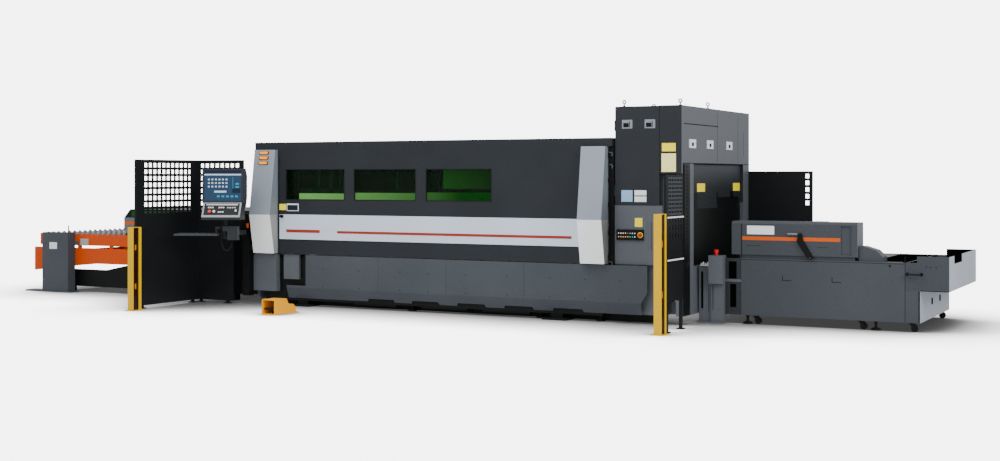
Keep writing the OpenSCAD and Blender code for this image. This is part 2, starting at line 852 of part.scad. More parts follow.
module tower_cabinet() color("#55585d") {
  difference() {
    union() {
      block([tower_x, tower_end], [box_front_y, tower_back], [upper_z, tower_h]);
      block([tower_x, lower_end], [box_front_y, lower_back_y], [unit_under, upper_z + 1]);
      block([tower_door_end + seam, tower_end], [-tower_front, box_front_y + 1], [column_z, tower_h]);
      block([tower_x, lower_end], [-tower_front, box_front_y + 1], [skirt_top + 10, tower_door_z - seam]);
      block([tower_x, tower_end], [cabin_back, tower_back], [unit_under, upper_z + 1]);
      block([guide_x, tower_end], [box_front_y, guide_front_in], [unit_under, upper_z + 1]);
      block([guide_x, tower_end], [guide_back, guide_back_end + 1], [unit_under, upper_z + 1]);
      block([guide_x, tower_end], [guide_front_in - 1, guide_back + 1], [unit_under, sill_z]);
      block([lower_end - 1, guide_x + 1], [-guide_front, guide_front_in - 40], [unit_under, 240]);
      block([cabin_end, tower_x + 1], [box_front_y, cabin_back + 10], [cabin_h - filler_h, cabin_h]);
      block([cabin_end, tower_x + 1], [box_front_y, box_front_y + wall_t], [unit_under, upper_z + 1]);
    }
    block([tower_x + tower_t, tower_end - tower_t], [box_front_y + tower_t, tower_back - tower_t],
      [upper_z + tower_t, tower_h - tower_t]);
    block([tower_x + tower_t, tower_door_end - tower_t], [box_front_y - 1, box_front_y + tower_t + 1],
      [tower_door_z + tower_t, tower_h - tower_t]);
    block([tower_x + tower_t, lower_end - tower_t], [box_front_y + tower_t, lower_back_y - tower_t],
      [tower_door_z - 200, upper_z + tower_t + 1]);
    block([tower_x + tower_t, tower_door_end - tower_t], [box_front_y - 1, lower_back_y - tower_t],
      [tower_door_z + tower_t, upper_z + tower_t + 1]);
    block([shutter_x - 6, tower_end - tower_t - 6], [guide_front_in, guide_back],
      [upper_z - 1, upper_z + tower_t + 1]);
    block([tower_end - 4, tower_end + 1], [-tower_front + 81, -tower_front + 1241], [upper_z + 435, upper_z + 449]);
    for (y = [-tower_front + 1213, -tower_front + 1993])
      block([tower_end - 3, tower_end + 1], [y - 3, y + 3], [upper_z + 20, tower_h - 160]);
    block([lower_end - 168, lower_end - 164], [-tower_front - 1, -tower_front + 3], [832, 1144]);
  }
  for (z = hinge_zs) {
    rod_z(tower_door_x, hinge_y, [z - hinge_l, z - run_gap], hinge_r);
    block([tower_x, tower_door_x - run_gap], [hinge_y, box_front_y + 1], [z - hinge_l, z - run_gap]);
  }
}

module tower_front_door() color("#2a2c30")
  difference() {
    union() {
      block([tower_door_x, tower_door_end], [-tower_front, panel_back_y], [tower_door_z, tower_door_top]);
      for (z = hinge_zs) {
        rod_z(tower_door_x, hinge_y, [z, z + hinge_l], hinge_r);
        block([tower_door_x, tower_door_x + hinge_r], [hinge_y, -tower_front + 1], [z, z + hinge_l]);
      }
    }
    for (x = [tower_x + 151, tower_x + 425])
      translate([x, -tower_front, tower_h - 204])
        rotate([90, 0, 0])
          translate([0, 0, -10])
            linear_extrude(11)
              soft_rect(130, 102, 8);
  }

module laser_oscillator() color("#8b9096") {
  block([tower_x + 90, tower_end - 150], oscillator_y, [upper_z + tower_t, upper_z + 430]);
  block([tower_x + 140, tower_end - 200], [oscillator_y[0] + 100, oscillator_y[1] - 400], [upper_z + 430, upper_z + 520]);
  for (y = [oscillator_y[0] + 60 : 120 : oscillator_y[1] - 100])
    block([tower_x + 84, tower_x + 90], [y - 45, y + 45], [upper_z + 120, upper_z + 330]);
}

module side_latches() color("#e9eaec")
  for (y = [-tower_front + 342, -tower_front + 940, -tower_front + 1640])
    difference() {
      block([tower_end, tower_end + latch_t], [y - latch_w / 2, y + latch_w / 2],
        [latch_z, latch_z + latch_h]);
      block([tower_end + 4, tower_end + latch_t + 1], [y - 40, y + 70], [latch_z + 22, latch_z + 62]);
    }

// A lifting eye: a round ring on a collar
module lifting_eye(x, y) {
  ring_r = 7;
  ring_mid = 18;
  translate([x, y, tower_h])
    cylinder(r = 18, h = 8);
  translate([x, y, tower_h])
    cylinder(r = 8, h = eye_h - 2 * ring_mid - ring_r);
  translate([x, y, tower_h + eye_h - ring_r - ring_mid])
    rotate([90, 0, 0])
      rotate_extrude()
        translate([ring_mid, 0])
          circle(ring_r);
}

module lifting_eyes() color("#8f9296")
  for (x = [tower_x + 87, tower_end - 40], y = [-tower_front + 70, -tower_front + 988])
    lifting_eye(x, y);

module control_strip() color("#151618")
  difference() {
    block([strip_x, strip_x + strip_l], [strip_y, -tower_front], [strip_z, strip_z + strip_h]);
    rod_y(estop_x, [strip_y - 1, -tower_front - 4], estop_z, estop_stem_r + run_gap);
  }

module panel_buttons() color("#c8ccd0")
  for (k = [0 : 7], z = [strip_z + 38, strip_z + 78])
    rod_y(strip_x + 30 + k * 28, [strip_y - 7, strip_y], z, 9);

module tower_estop() color("#c31f1f") {
  rod_y(estop_x, [strip_y - 22, strip_y - estop_travel - 2], estop_z, estop_r);
  rod_y(estop_x, [strip_y - estop_travel - 2.5, -tower_front - 5 - estop_travel], estop_z, estop_stem_r);
}

module tube_shutter() color("#3a3c3f")
  difference() {
    block([shutter_x, shutter_x + shutter_t], [guide_front_in + run_gap, guide_back - run_gap],
      [sill_z + run_gap, shutter_top]);
    block([shutter_x + shutter_t - 6, shutter_x + shutter_t + 1], [guide_front_in + 78, guide_back - 61],
      [shutter_top - 480, shutter_top - 390]);
    for (y = [guide_front_in + 78, guide_front_in + 788])
      block([shutter_x + shutter_t - 4, shutter_x + shutter_t + 1], [y, y + 640], [sill_z + 120, shutter_top - 540]);
  }

module tube_unit_base() color("#5d6065") {
  difference() {
    union() {
      block([unit_x, unit_end], [-unit_front, unit_back], [unit_under, unit_top]);
      block([unit_end - 1, unit_low_end], [-unit_front, unit_back], [unit_under, bin_z]);
      block([arm_pivot_x - 30, arm_pivot_x + 30], [-unit_front, -unit_front + 16],
        [unit_top - 1, cover_z - 3]);
      rod_y(arm_pivot_x, [arm_y - 5, -unit_front + 1], arm_pivot_z, arm_pin);
      block([unit_x + 120, unit_x + 180], [unit_back - 1, tower_back - fence_t], [400, 460]);
    }
    block([unit_end - 380, unit_end - 30], [-unit_front + 90, unit_back - 90], [unit_top - 60, unit_top + 1]);
    for (x = [unit_x + 476, unit_x + 1025]) {
      block([x - 4, x + 4], [-unit_front - 1, -unit_front + 4], [505, 560]);
      block([x - 4, x + 95], [-unit_front - 1, -unit_front + 4], [501, 507]);
    }
    for (y = [120, 590])
      block([unit_low_end - 8, unit_low_end + 1], [y - 26, y + 26], [250, 318]);
  }
  along_y([-unit_front + 40, -unit_front + 240])
    polygon([[cover_end + 8, unit_top], [cover_end + 265, unit_top], [cover_end + 265, unit_top + 50],
      [cover_end + 190, unit_top + 120], [cover_end + 60, unit_top + 160], [cover_end + 8, unit_top + 160]]);
}

module tube_rails() color("#1c1d1f")
  both_sides()
    block([unit_x + 15, unit_x + 15 + rail2_l], [rail2_y - rail2_w / 2, rail2_y + rail2_w / 2],
      [unit_top, unit_top + rail2_h]);

module chuck_carriage() color("#74787d")
  difference() {
    union() {
      block([carriage_x, carriage_x + carriage_l], [-rail2_y - 45, rail2_y + 45], [carriage_z, carriage_z + carriage_plate]);
      block([carriage_x + 20, carriage_x + carriage_l - 20], [-rail2_y - 5, rail2_y + 5],
        [carriage_z + carriage_plate - 1, chuck_z + 175]);
    }
    rod_x([carriage_x - 1, carriage_x + carriage_l + 1], 0, chuck_z, spindle_r + run_gap);
  }

module chuck() color("#b3b7bb") {
  face_x = carriage_x + 20 - run_gap;
  difference() {
    union() {
      rod_x([face_x - 76, face_x], 0, chuck_z, chuck_r);
      rod_x([face_x - 1, carriage_x + carriage_l + 30], 0, chuck_z, spindle_r);
    }
    rod_x([face_x - 80, carriage_x + carriage_l + 40], 0, chuck_z, bore_r);
  }
  for (k = [0 : 3])
    translate([face_x - 76, 0, chuck_z])
      rotate([90 * k, 0, 0])
        block([-44, 1], [-26, 26], [bore_r + 6, chuck_r - 4]);
}

module tube_cover() color("#55585d") {
  y = [-unit_front, cover_back];
  difference() {
    along_x([cover_x, cover_end])
      polygon([[y[0], cover_z], [y[1], cover_z], [y[1], cover_top], [y[0] + 24, cover_top],
        [y[0], cover_top - 24]]);
    block([cover_end - 182, cover_end - 64], [y[0] - 1, y[0] + 14], [cover_z + 20, cover_top - 40]);
    block([cover_x + 110, cover_x + 118], [y[0] - 1, y[0] + 4], [cover_z + 10, cover_top - 30]);
  }
  block([unit_x + 20, cover_end - 40], [y[0] + 20, y[1] - 20], [unit_top, cover_z + 1]);
}

module support_arm() color("#1a1b1d")
  difference() {
    union() {
      along_y([arm_y, arm_y + arm_t])
        polygon([[arm_pivot_x - 38, arm_pivot_z + 4], [arm_pivot_x + 36, arm_pivot_z - 2],
          [arm_pivot_x - 82, arm_pivot_z + 195], [arm_pivot_x - 96, arm_pivot_z + 262],
          [arm_pivot_x - 134, arm_pivot_z + 262], [arm_pivot_x - 150, arm_pivot_z + 175]]);
      rod_y(arm_pivot_x, [arm_y, arm_y + arm_t], arm_pivot_z, 20);
      rod_x([arm_pivot_x - 250, arm_pivot_x - 98], arm_y + arm_t / 2, arm_pivot_z + 258, 12);
    }
    rod_y(arm_pivot_x, [arm_y - 1, arm_y + arm_t + 1], arm_pivot_z, arm_pin + 0.1);
  }

module end_bin() color("#5d6065")
  difference() {
    block([unit_end, bin_end], [-unit_front, unit_back], [bin_z, bin_top]);
    block([unit_end + sheet_t, bin_end - sheet_t], [-unit_front + sheet_t, unit_back - sheet_t],
      [bin_z + sheet_t, bin_top + 1]);
    block([bin_end - sheet_t - 1, bin_end + 1], [-16 - notch_w / 2, -16 + notch_w / 2],
      [notch_z, bin_top + 1]);
    block([unit_end - 1, unit_end + bin_step], [-unit_front - 1, unit_back + 1], [unit_top, bin_top + 1]);
  }

module unit_handle() color("#121314") {
  grip_r = 9;
  grip_y = -unit_front - 46;
  x = [unit_end + 22, unit_end + 168];
  rod_x(x, grip_y, 618, grip_r);
  for (end = x) {
    translate([end, grip_y, 618])
      sphere(grip_r);
    rod_y(end, [grip_y, -unit_front], 618, grip_r);
    rod_y(end, [-unit_front - 5, -unit_front], 618, 18);
  }
}

// A caster: top plate, fork and wheel
module caster(x, y) {
  fork_y = 26;
  block([x - 45, x + 45], [y - 40, y + 40], [unit_under - 8, unit_under]);
  rod_z(x, y, [unit_under - 20, unit_under - 7], 26);
  for (s = [-1, 1])
    along_y([y + s * fork_y - 3, y + s * fork_y + 3])
      polygon([[x - 26, unit_under - 16], [x + 26, unit_under - 16], [x + 34, caster_r - 8], [x + 14, caster_r - 8]]);
  block([x - 26, x + 26], [y - fork_y - 3, y + fork_y + 3], [unit_under - 22, unit_under - 16]);
  rod_y(x + 24, [y - fork_y - 6, y + fork_y + 6], caster_r, 6);
  rod_y(x + 24, [y - 17, y + 17], caster_r, caster_r);
}

module casters() color("#161719")
  for (x = [unit_x + 155, unit_x + 1330, unit_low_end - 90], y = [-unit_front + 70, unit_back - 70])
    caster(x, y);

module pedestal() color("#5d6065") {
  x = [pedestal_x, pedestal_x + pedestal_w];
  y = [pedestal_y, pedestal_y + pedestal_d];
  difference() {
    union() {
      block(x, y, [12, pedestal_h]);
      block([box_x, box_x + box_w], [pedestal_y - box_d, pedestal_y + 1], [box_z, pedestal_h]);
      block([x[0] - service_w, x[0] + 1], [y[0] + 20, y[1]], [12, service_top]);
      block([x[0] - service_w, x[1] + 15], [y[0] - 25, y[1] + 25], [0, 12]);
    }
    block([x[0] - 40, x[0] - 22], [y[0] + 19, y[0] + 32], [120, service_top - 60]);
    rod_z(stop_x, stop_y, [pedestal_h - 20, pedestal_h + 1], estop_stem_r + run_gap);
    block([x[0] + 14, x[0] + 34], [y[0] - 1, y[0] + 12], [150, 420]);
  }
  block([x[1] - 1, unit_x], [-unit_front + 5, -unit_front + 25], [470, 500]);
}

module pedestal_estop() color("#c31f1f") {
  rod_z(stop_x, stop_y, [pedestal_h + estop_travel + 24, pedestal_h + 66], estop_r + 4);
  rod_z(stop_x, stop_y, [pedestal_h + estop_travel + 2, pedestal_h + estop_travel + 25], estop_r - 3);
  rod_z(stop_x, stop_y, [pedestal_h - 12, pedestal_h + estop_travel + 3], estop_stem_r);
}

module table_base() color("#17181a") {
  side_in = pallet_w / 2 - 90;
  side_out = pallet_w / 2 - 40;
  both_sides() {
    along_y([side_in, side_out])
      polygon([[base_x, 84], [base_end, 84], [base_end, table_under], [base_shoulder, table_under],
        [base_shoulder - 450, base_top], [base_x, base_top]]);
    block([leg_x - 40, leg_x + 40], [hood_half - 30, hood_half + 30], [0, hood_under]);
    block([leg_x - 40, leg_x + 40], [side_out - 1, hood_half - 29], [100, 180]);
    for (x = [base_x + 120, base_foot_x, base_end - 120])
      block([x - 60, x + 60], [side_in - 20, side_out + 10], [0, 85]);
  }
  for (x = [base_x + 60, base_foot_x, base_end - 60])
    block([x - 50, x + 50], [-side_in - 1, side_in + 1], [110, 220]);
}

module table_frame() color("#cf4a0c") {
  out_y = pallet_w / 2;
  in_y = out_y - pallet_t;
  both_sides() {
    along_y([in_y, out_y])
      polygon([[table_x, table_deep], [table_x, table_top], [table_end, table_top],
        [table_end, table_under], [pallet_x + 1101, table_under], [pallet_x + 661, table_under - 40]]);
    block([base_shoulder, base_end], [in_y - 50, in_y + 1], [table_under, table_under + 12]);
    for (x = [pallet_x + 150 : 600 : pallet_end])
      block([x - 30, x + 30], [in_y, out_y - 14], [table_top - 1, pallet_z - run_gap]);
  }
  for (x = [table_x + 20, pallet_x + 1530, pallet_end - 470, table_end - 60])
    block([x, x + 60], [-in_y - 1, in_y + 1], [table_top - 170, table_top - 80]);
}

module drive_housing() color("#55585d")
  difference() {
    union() {
      block([drive_x, drive_x + drive_w], [drive_y, -pallet_w / 2 - 5], [plate_t - 1, drive_h]);
      block([drive_x + 40, drive_x + drive_w - 40], [drive_y, -pallet_w / 2], [table_under, table_top - 20]);
      block([drive_x - 320, drive_x + drive_w + 40], [drive_y - 15, -pallet_w / 2 + 20], [0, plate_t]);
    }
    block([drive_x + 150, drive_x + 280], [drive_y - 1, drive_y + 3], [620, 712]);
  }

module pallet_frame() color("#cf4a0c")
  difference() {
    union() {
      both_sides()
        block([pallet_x, pallet_end], [pallet_in, pallet_w / 2], [pallet_z, pallet_top]);
      for (x = [pallet_x, pallet_end - pallet_t])
        block([x, x + pallet_t], [-pallet_in - 1, pallet_in + 1], [pallet_z, pallet_top - 10]);
      for (y = [-pallet_in + 250, 0, pallet_in - 250])
        block([pallet_x + 1, pallet_end - 1], [y - 20, y + 20], [slat_z - bar_h, slat_z]);
    }
    for (k = [0 : slat_count - 1])
      block([slat_mid(k) - slat_t / 2 - slot_clear, slat_mid(k) + slat_t / 2 + slot_clear],
        [-pallet_w / 2 - 1, pallet_w / 2 + 1], [pallet_top - 40, pallet_top + 1]);
  }

function slat_mid(k) = pallet_x + pallet_l / 2 + (k - (slat_count - 1) / 2) * slat_pitch;

// Outline of a slat: a strip with pointed teeth, cut back at its ends to sit in the side beams
module slat_outline() {
  long = pallet_w / 2 - 2;
  short = pallet_in - 5;
  tip = slat_z + slat_h;
  root = tip - tooth_h;
  step = 2 * long / tooth_count;
  teeth = [for (k = [0 : tooth_count - 1]) each
    [[long - k * step, root], [long - (k + 0.5) * step, tip]]];
  polygon(concat([[-short, slat_z], [short, slat_z], [short, pallet_top - 36], [long, pallet_top - 36]],
    teeth, [[-long, root], [-long, pallet_top - 36], [-short, pallet_top - 36]]));
}

module pallet_slats() color("#8d9196")
  for (k = [0 : slat_count - 1])
    along_x([slat_mid(k) - slat_t / 2, slat_mid(k) + slat_t / 2])
      slat_outline();

// Outline of the hood's side, with its sloped left end
module hood_side(t) {
  polygon([[hood_x - 1, hood_under - t], [-cabin_end + 1, hood_under - t], [-cabin_end + 1, hood_top - t],
    [hood_x + hood_slope, hood_top - t], [hood_x, hood_fold - t], [hood_x - 1, hood_fold - t]]);
}

module entry_hood() color("#6a6d72")
  difference() {
    intersection() {
      along_y([-hood_half, hood_half])
        hood_side(0);
      block([hood_x, -cabin_end], [-hood_half, hood_half], [hood_under, hood_top]);
    }
    along_y([-hood_half + hood_t, hood_half - hood_t])
      hood_side(hood_t);
    for (k = [0 : 2])
      block(hood_pane(k), [-hood_half - 1, hood_half + 1], [hood_fold + 14, hood_top - 22]);
  }

// Ends of the hood's side window k
function hood_pane(k) = [hood_x + 130 + k * 790, hood_x + 130 + k * 790 + 730];

module hood_windows() color("#1d6b24")
  both_sides()
    for (k = [0 : 2])
      block([hood_pane(k)[0] - 8, hood_pane(k)[1] + 8], [hood_half - hood_t - 5, hood_half - hood_t],
        [hood_fold + 6, hood_top - 14]);

// An upright fence panel in X and Z with rows of square holes, on short feet
module fence(l, z, rows, top, feet, edge = fence_edge) {
  columns = floor((l - 2 * edge) / mesh_pitch);
  first = (l - (columns - 1) * mesh_pitch) / 2;
  field_x = [first - mesh_pitch / 2, first + (columns - 0.5) * mesh_pitch];
  field_z = [top - 70 - (rows - 0.5) * mesh_pitch, top - 70 + mesh_pitch / 2];
  difference() {
    union() {
      block([0, l], [0, fence_t], [z, top]);
      for (x = feet)
        block([x - 45, x + 45], [-20, fence_t + 20], [0, 12]);
      for (x = feet)
        block([x - 20, x + 20], [0, fence_t], [11, z + 1]);
    }
    block(field_x, [fence_sheet, fence_t + 1], field_z);
    for (i = [0 : columns - 1], j = [0 : rows - 1])
      translate([first + i * mesh_pitch, 0, top - 70 - j * mesh_pitch])
        cube([mesh_hole, 3 * fence_t, mesh_hole], center = true);
  }
}

module left_side_fence() color("#1b1c1f")
  translate([side_fence_x + fence_t, side_fence_front, 0])
    rotate([0, 0, 90])
      fence(side_fence_l, fence_rim, 8, fence_top, [120, side_fence_l - 102]);

module left_front_fence() color("#1b1c1f")
  translate([side_fence_x, fence_y, 0])
    difference() {
      fence(mast_x - side_fence_x, fence_rim, 8, fence_top, [60, 505], fence_rim);
      block([mast_x - side_fence_x - 160, mast_x - side_fence_x + 1], [-1, fence_t + 1], [-1, 880]);
    }

module right_fence() color("#1b1c1f")
  translate([right_fence_x + fence_t, right_fence_y, 0]) {
    rotate([0, 0, 90])
      fence(right_fence_l, 320, 8, right_fence_top, [40, right_fence_l - 40], fence_rim);
    for (z = [755, 1210])
      block([0, 8], [10, right_fence_l - 10], [z, z + 22]);
  }

module rear_fence() color("#17181a")
  translate([tower_end, tower_back - fence_t, 0])
    difference() {
      union() {
        block([0, rear_fence_l], [0, fence_t], [60, rear_fence_top]);
        for (x = [120, rear_fence_l - 54])
          block([x - 30, x + 30], [-25, fence_t + 25], [0, 61]);
      }
      for (j = [0 : 4])
        translate([rear_fence_l - 66, 0, rear_fence_top - 60 - j * mesh_pitch])
          cube([mesh_hole, 3 * fence_t, mesh_hole], center = true);
    }

// A light post: an upright channel with its slot to the right, on a floor plate
module light_post(h) {
  w = light_post_w;
  d = light_post_d;
  t = light_post_t;
  translate([0, 0, 10])
    linear_extrude(h - 10 - t)
      difference() {
        square([w, d]);
        translate([t, t])
          square([w - 2 * t, d - 2 * t]);
        translate([w - t - 1, 2 * t])
          square([t + 2, light_slot]);
      }
  block([0, w], [0, d], [h - t, h]);
  block([-30, w + 30], [-20, d + 20], [0, 10]);
}

module left_light_post() color("#dcb800")
  translate([left_post_x, left_post_y, 0])
    light_post(left_post_h);

module right_light_post() color("#dcb800")
  translate([right_post_x, right_post_y, 0])
    light_post(right_post_h);

// The light curtain's housing inside a post, standing on the post's floor plate
module curtain(h) {
  front = 2 * light_post_t + 4;
  block([light_post_t, light_post_w - light_post_t - 8], [front, front + light_slot - 8], [10, h - light_post_t]);
}

module light_curtains() color("#2a1512") {
  translate([left_post_x, left_post_y, 0])
    curtain(left_post_h);
  translate([right_post_x, right_post_y, 0])
    curtain(right_post_h);
}

module console_mast() color("#1b1c1f") {
  block([mast_x, mast_x + mast_w], [mast_y, mast_y + mast_d], [115, 1180]);
  for (z = [arm_z - 34, arm_z + arm_h + run_gap])
    block([pivot_x - 34, pivot_x + 34], [pivot_y - 30, mast_y + 1], [z, z + 34 - run_gap]);
  rod_z(pivot_x, pivot_y, [arm_z - 34, arm_z + arm_h + 34], arm_pin_r);
  for (z = [700, 1090])
    block([mast_x + mast_w - 1, -pillar_out], [mast_y, door_y], [z, z + 70]);
}

module console_arm() color("#2a2c30")
  difference() {
    union() {
      block([pivot_x - 28, pivot_x + 28], [arm_end_y, pivot_y], [arm_z, arm_z + arm_h]);
      rod_z(pivot_x, pivot_y, [arm_z, arm_z + arm_h], 30);
      rod_z(pivot_x, arm_end_y, [arm_z, arm_z + arm_h], 44);
    }
    rod_z(pivot_x, pivot_y, [arm_z - 1, arm_z + arm_h + 1], arm_pin_r + 0.1);
    rod_z(pivot_x, arm_end_y, [arm_z - 1, arm_z + arm_h + 1], stem_r + 0.1);
  }

// The console's own pieces stand over its stem and face the operator
module at_console()
  translate([pivot_x, arm_end_y, 0])
    rotate([0, 0, console_turn])
      children();

module console_head() color("#2a2c30")
  at_console() {
    mid_y = 40;
    top = monitor_z + monitor_h;
    difference() {
      along_x([-monitor_w / 2, monitor_w / 2])
        polygon([[-monitor_d + mid_y, monitor_z], [mid_y, monitor_z - 60], [mid_y + 70, monitor_z + 60],
          [mid_y + 70, top - 90], [mid_y - 10, top], [-monitor_d + mid_y, top]]);
      block([-monitor_w / 2 + 26, monitor_w / 2 - 26],
        [-monitor_d + mid_y - 1, -monitor_d + mid_y + screen_t], [monitor_z + 24, top - 24]);
    }
    along_x([-monitor_w / 2 + 14, monitor_w / 2 - 14])
      polygon([[mid_y, desk_z], [mid_y, monitor_z + 1], [-monitor_d + mid_y + 1, monitor_z + 1],
        [-monitor_d + mid_y - desk_d + 130, desk_z + 30], [-monitor_d + mid_y - desk_d + 140, desk_z]]);
    rod_z(0, 0, [arm_z - 40, desk_z + 1], stem_r);
    rod_z(0, 0, [arm_z + arm_h + run_gap, arm_z + arm_h + 24], 44);
    block([0, 190], [-130, -20], [arm_z + arm_h + 1, arm_z + arm_h + 62]);
    block([60, 190], [-130, -20], [arm_z - 50, arm_z + arm_h + 2]);
    block([-60, 0], [-20, 20], [arm_z + arm_h + 20, arm_z + arm_h + 56]);
  }

module console_screen() color("#2f6aa0")
  at_console()
    block([-monitor_w / 2 + 26, monitor_w / 2 - 26], [40 - monitor_d, 40 - monitor_d + screen_t],
      [monitor_z + 24, monitor_z + monitor_h - 24]);

module console_tray() color("#4a4d52")
  at_console() {
    block([-tray_l - 50, -50], [-tray_d + 120, 120], [tray_z, tray_z + tray_t]);
    block([-120, -60], [-18, 18], [arm_z + arm_h + 24, arm_z + arm_h + 54]);
    block([-120, -90], [-18, 18], [tray_z + tray_t - 1, arm_z + arm_h + 54]);
  }

// Ring k of the cable: a regular outline square to its route
cable_sides = 10;
function cable_dir(k) = let (last = len(cable_route) - 1)
  cable_route[min(k + 1, last)] - cable_route[max(k - 1, 0)];
function unit_vec(v) = v / norm(v);
function cable_ring(k) = let (d = unit_vec(cable_dir(k)), u = unit_vec(cross(d, [0.3, 1, 0.1])), v = cross(d, u))
  [for (s = [0 : cable_sides - 1]) cable_route[k]
    + cable_d / 2 * (cos(360 * s / cable_sides) * u + sin(360 * s / cable_sides) * v)];

module console_cable() color("#0f1011") {
  last = len(cable_route) - 1;
  points = [for (k = [0 : last]) each cable_ring(k)];
  walls = [for (k = [0 : last - 1], s = [0 : cable_sides - 1]) let (n = (s + 1) % cable_sides)
    [k * cable_sides + s, (k + 1) * cable_sides + s, (k + 1) * cable_sides + n, k * cable_sides + n]];
  start = [for (s = [0 : cable_sides - 1]) s];
  end = [for (s = [cable_sides - 1 : -1 : 0]) last * cable_sides + s];
  at_console()
    polyhedron(points, concat([start], walls, [end]));
}

module foot_switch_hood() color("#e0a400") {
  x = [foot_x, foot_x + foot_w];
  mid_y = foot_y + foot_hood_l;
  difference() {
    union() {
      along_x(x)
        polygon([[foot_y, 0], [foot_end_y, 0], [foot_end_y, foot_back_h - 45], [foot_end_y - 60, foot_back_h],
          [mid_y + 30, foot_back_h], [mid_y - 10, foot_h], [foot_y + 14, foot_h], [foot_y, foot_h - 20]]);
      block([x[0] - 14, x[1] + 14], [mid_y, foot_end_y + 30], [0, foot_base_t]);
    }
    block([x[0] + foot_t, x[1] - foot_t], [foot_y - 1, mid_y - 14], [foot_base_t, foot_h - foot_t]);
    rod_x([x[0] + 2, x[1] - 2], pedal_pin_y, pedal_pin_z, pedal_pin_r + 0.1);
  }
}

module foot_pedal() color("#191a1c") {
  x = [foot_x + foot_t + 6, foot_x + foot_w - foot_t - 6];
  along_x(x)
    polygon([[pedal_pin_y + 10, pedal_pin_z - 10], [pedal_pin_y + 10, pedal_pin_z + 12],
      [foot_y + 30, pedal_pin_z + 30], [foot_y + 26, pedal_pin_z + 14]]);
  rod_x([foot_x + 3, foot_x + foot_w - 3], pedal_pin_y, pedal_pin_z, pedal_pin_r);
}

bed_frame();
levelling_feet();
front_skirt();
left_pillar_cover();
right_pillar_cover();
roof_cover();
left_wall();
rear_wall();
left_lower_covers();
status_lamps();
front_door();
door_windows();
door_band();
x_rails();
gantry_beam();
head_carriage();
cutting_head();
tower_cabinet();
tower_front_door();
laser_oscillator();
side_latches();
lifting_eyes();
control_strip();
panel_buttons();
tower_estop();
tube_shutter();
tube_unit_base();
tube_rails();
chuck_carriage();
chuck();
tube_cover();
support_arm();
end_bin();
unit_handle();
casters();
pedestal();
pedestal_estop();
table_base();
table_frame();
drive_housing();
pallet_frame();
pallet_slats();
entry_hood();
hood_windows();
left_side_fence();
left_front_fence();
right_fence();
rear_fence();
left_light_post();
right_light_post();
light_curtains();
console_mast();
console_arm();
console_head();
console_screen();
console_tray();
console_cable();
foot_switch_hood();
foot_pedal();
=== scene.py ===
import json
import math

import bmesh
import bpy
from mathutils import Matrix, Vector


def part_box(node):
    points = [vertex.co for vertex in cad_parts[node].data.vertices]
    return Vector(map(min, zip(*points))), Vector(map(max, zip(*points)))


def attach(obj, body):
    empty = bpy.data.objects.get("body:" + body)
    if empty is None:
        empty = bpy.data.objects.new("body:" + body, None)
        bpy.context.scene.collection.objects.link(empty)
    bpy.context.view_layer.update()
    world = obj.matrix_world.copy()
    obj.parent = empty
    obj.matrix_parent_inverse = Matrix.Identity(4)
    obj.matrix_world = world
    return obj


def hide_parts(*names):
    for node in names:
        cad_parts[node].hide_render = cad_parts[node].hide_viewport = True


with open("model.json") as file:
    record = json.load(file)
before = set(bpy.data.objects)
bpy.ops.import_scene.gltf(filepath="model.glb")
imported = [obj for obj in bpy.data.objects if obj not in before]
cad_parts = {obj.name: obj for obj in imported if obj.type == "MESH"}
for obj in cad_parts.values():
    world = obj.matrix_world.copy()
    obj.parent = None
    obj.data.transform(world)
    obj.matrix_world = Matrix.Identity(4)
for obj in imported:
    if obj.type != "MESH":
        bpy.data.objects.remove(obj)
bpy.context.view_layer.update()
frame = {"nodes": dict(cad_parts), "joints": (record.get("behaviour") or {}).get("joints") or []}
nodes = frame["nodes"]

# Camera: a long lens at an operator's eye height, well off to the right of the machine, so that
# the whole line is seen from the shuttle table to the tube unit's end bin.
EYE_PLACE = (8.658, -15.522, 1.660)
EYE_TURN = math.radians(27.8)
EYE_LENS = 49.57
EYE_SHIFT = -0.0543
eye = bpy.data.cameras.new("eye")
eye.sensor_width = 36.0
eye.lens = EYE_LENS
eye.shift_y = EYE_SHIFT
eye.clip_end = 200.0
eye_object = bpy.data.objects.new("eye", eye)
eye_object.location = EYE_PLACE
eye_object.rotation_euler = (math.radians(90), 0, EYE_TURN)
bpy.context.scene.collection.objects.link(eye_object)
bpy.context.scene.camera = eye_object


# Console cable: a black rubber cable that leaves the key desk's underside, hangs in a loop below
# the swing arm and goes up into the bracket box on the console's stem.
CABLE_D = 0.016
CABLE_ROUTE = [(-20, -66, 1112), (-20, -66, 1080), (-20, -67, 1045), (-21, -71, 1005), (-23, -78, 965),
               (-24, -87, 925), (-23, -96, 885), (-19, -103, 845), (-12, -109, 805), (0, -113, 770),
               (17, -116, 741), (39, -115, 725), (63, -109, 725), (84, -100, 744), (98, -90, 771),
               (107, -80, 799), (110, -75, 826), (110, -75, 855)]
CONSOLE_TURN = math.radians(25)
swivel = next(j for j in frame["joints"] if j["name"] == "console_swivel")
console_place = (Matrix.Translation((swivel["pos_m"][0], swivel["pos_m"][1], 0))
                 @ Matrix.Rotation(CONSOLE_TURN, 4, "Z"))


def linear(tone):
    """The linear colour of a paint tone written as six hex digits."""
    parts = [int(tone[k:k + 2], 16) / 255 for k in (0, 2, 4)]
    return tuple(p / 12.92 if p <= 0.04045 else ((p + 0.055) / 1.055) ** 2.4 for p in parts)


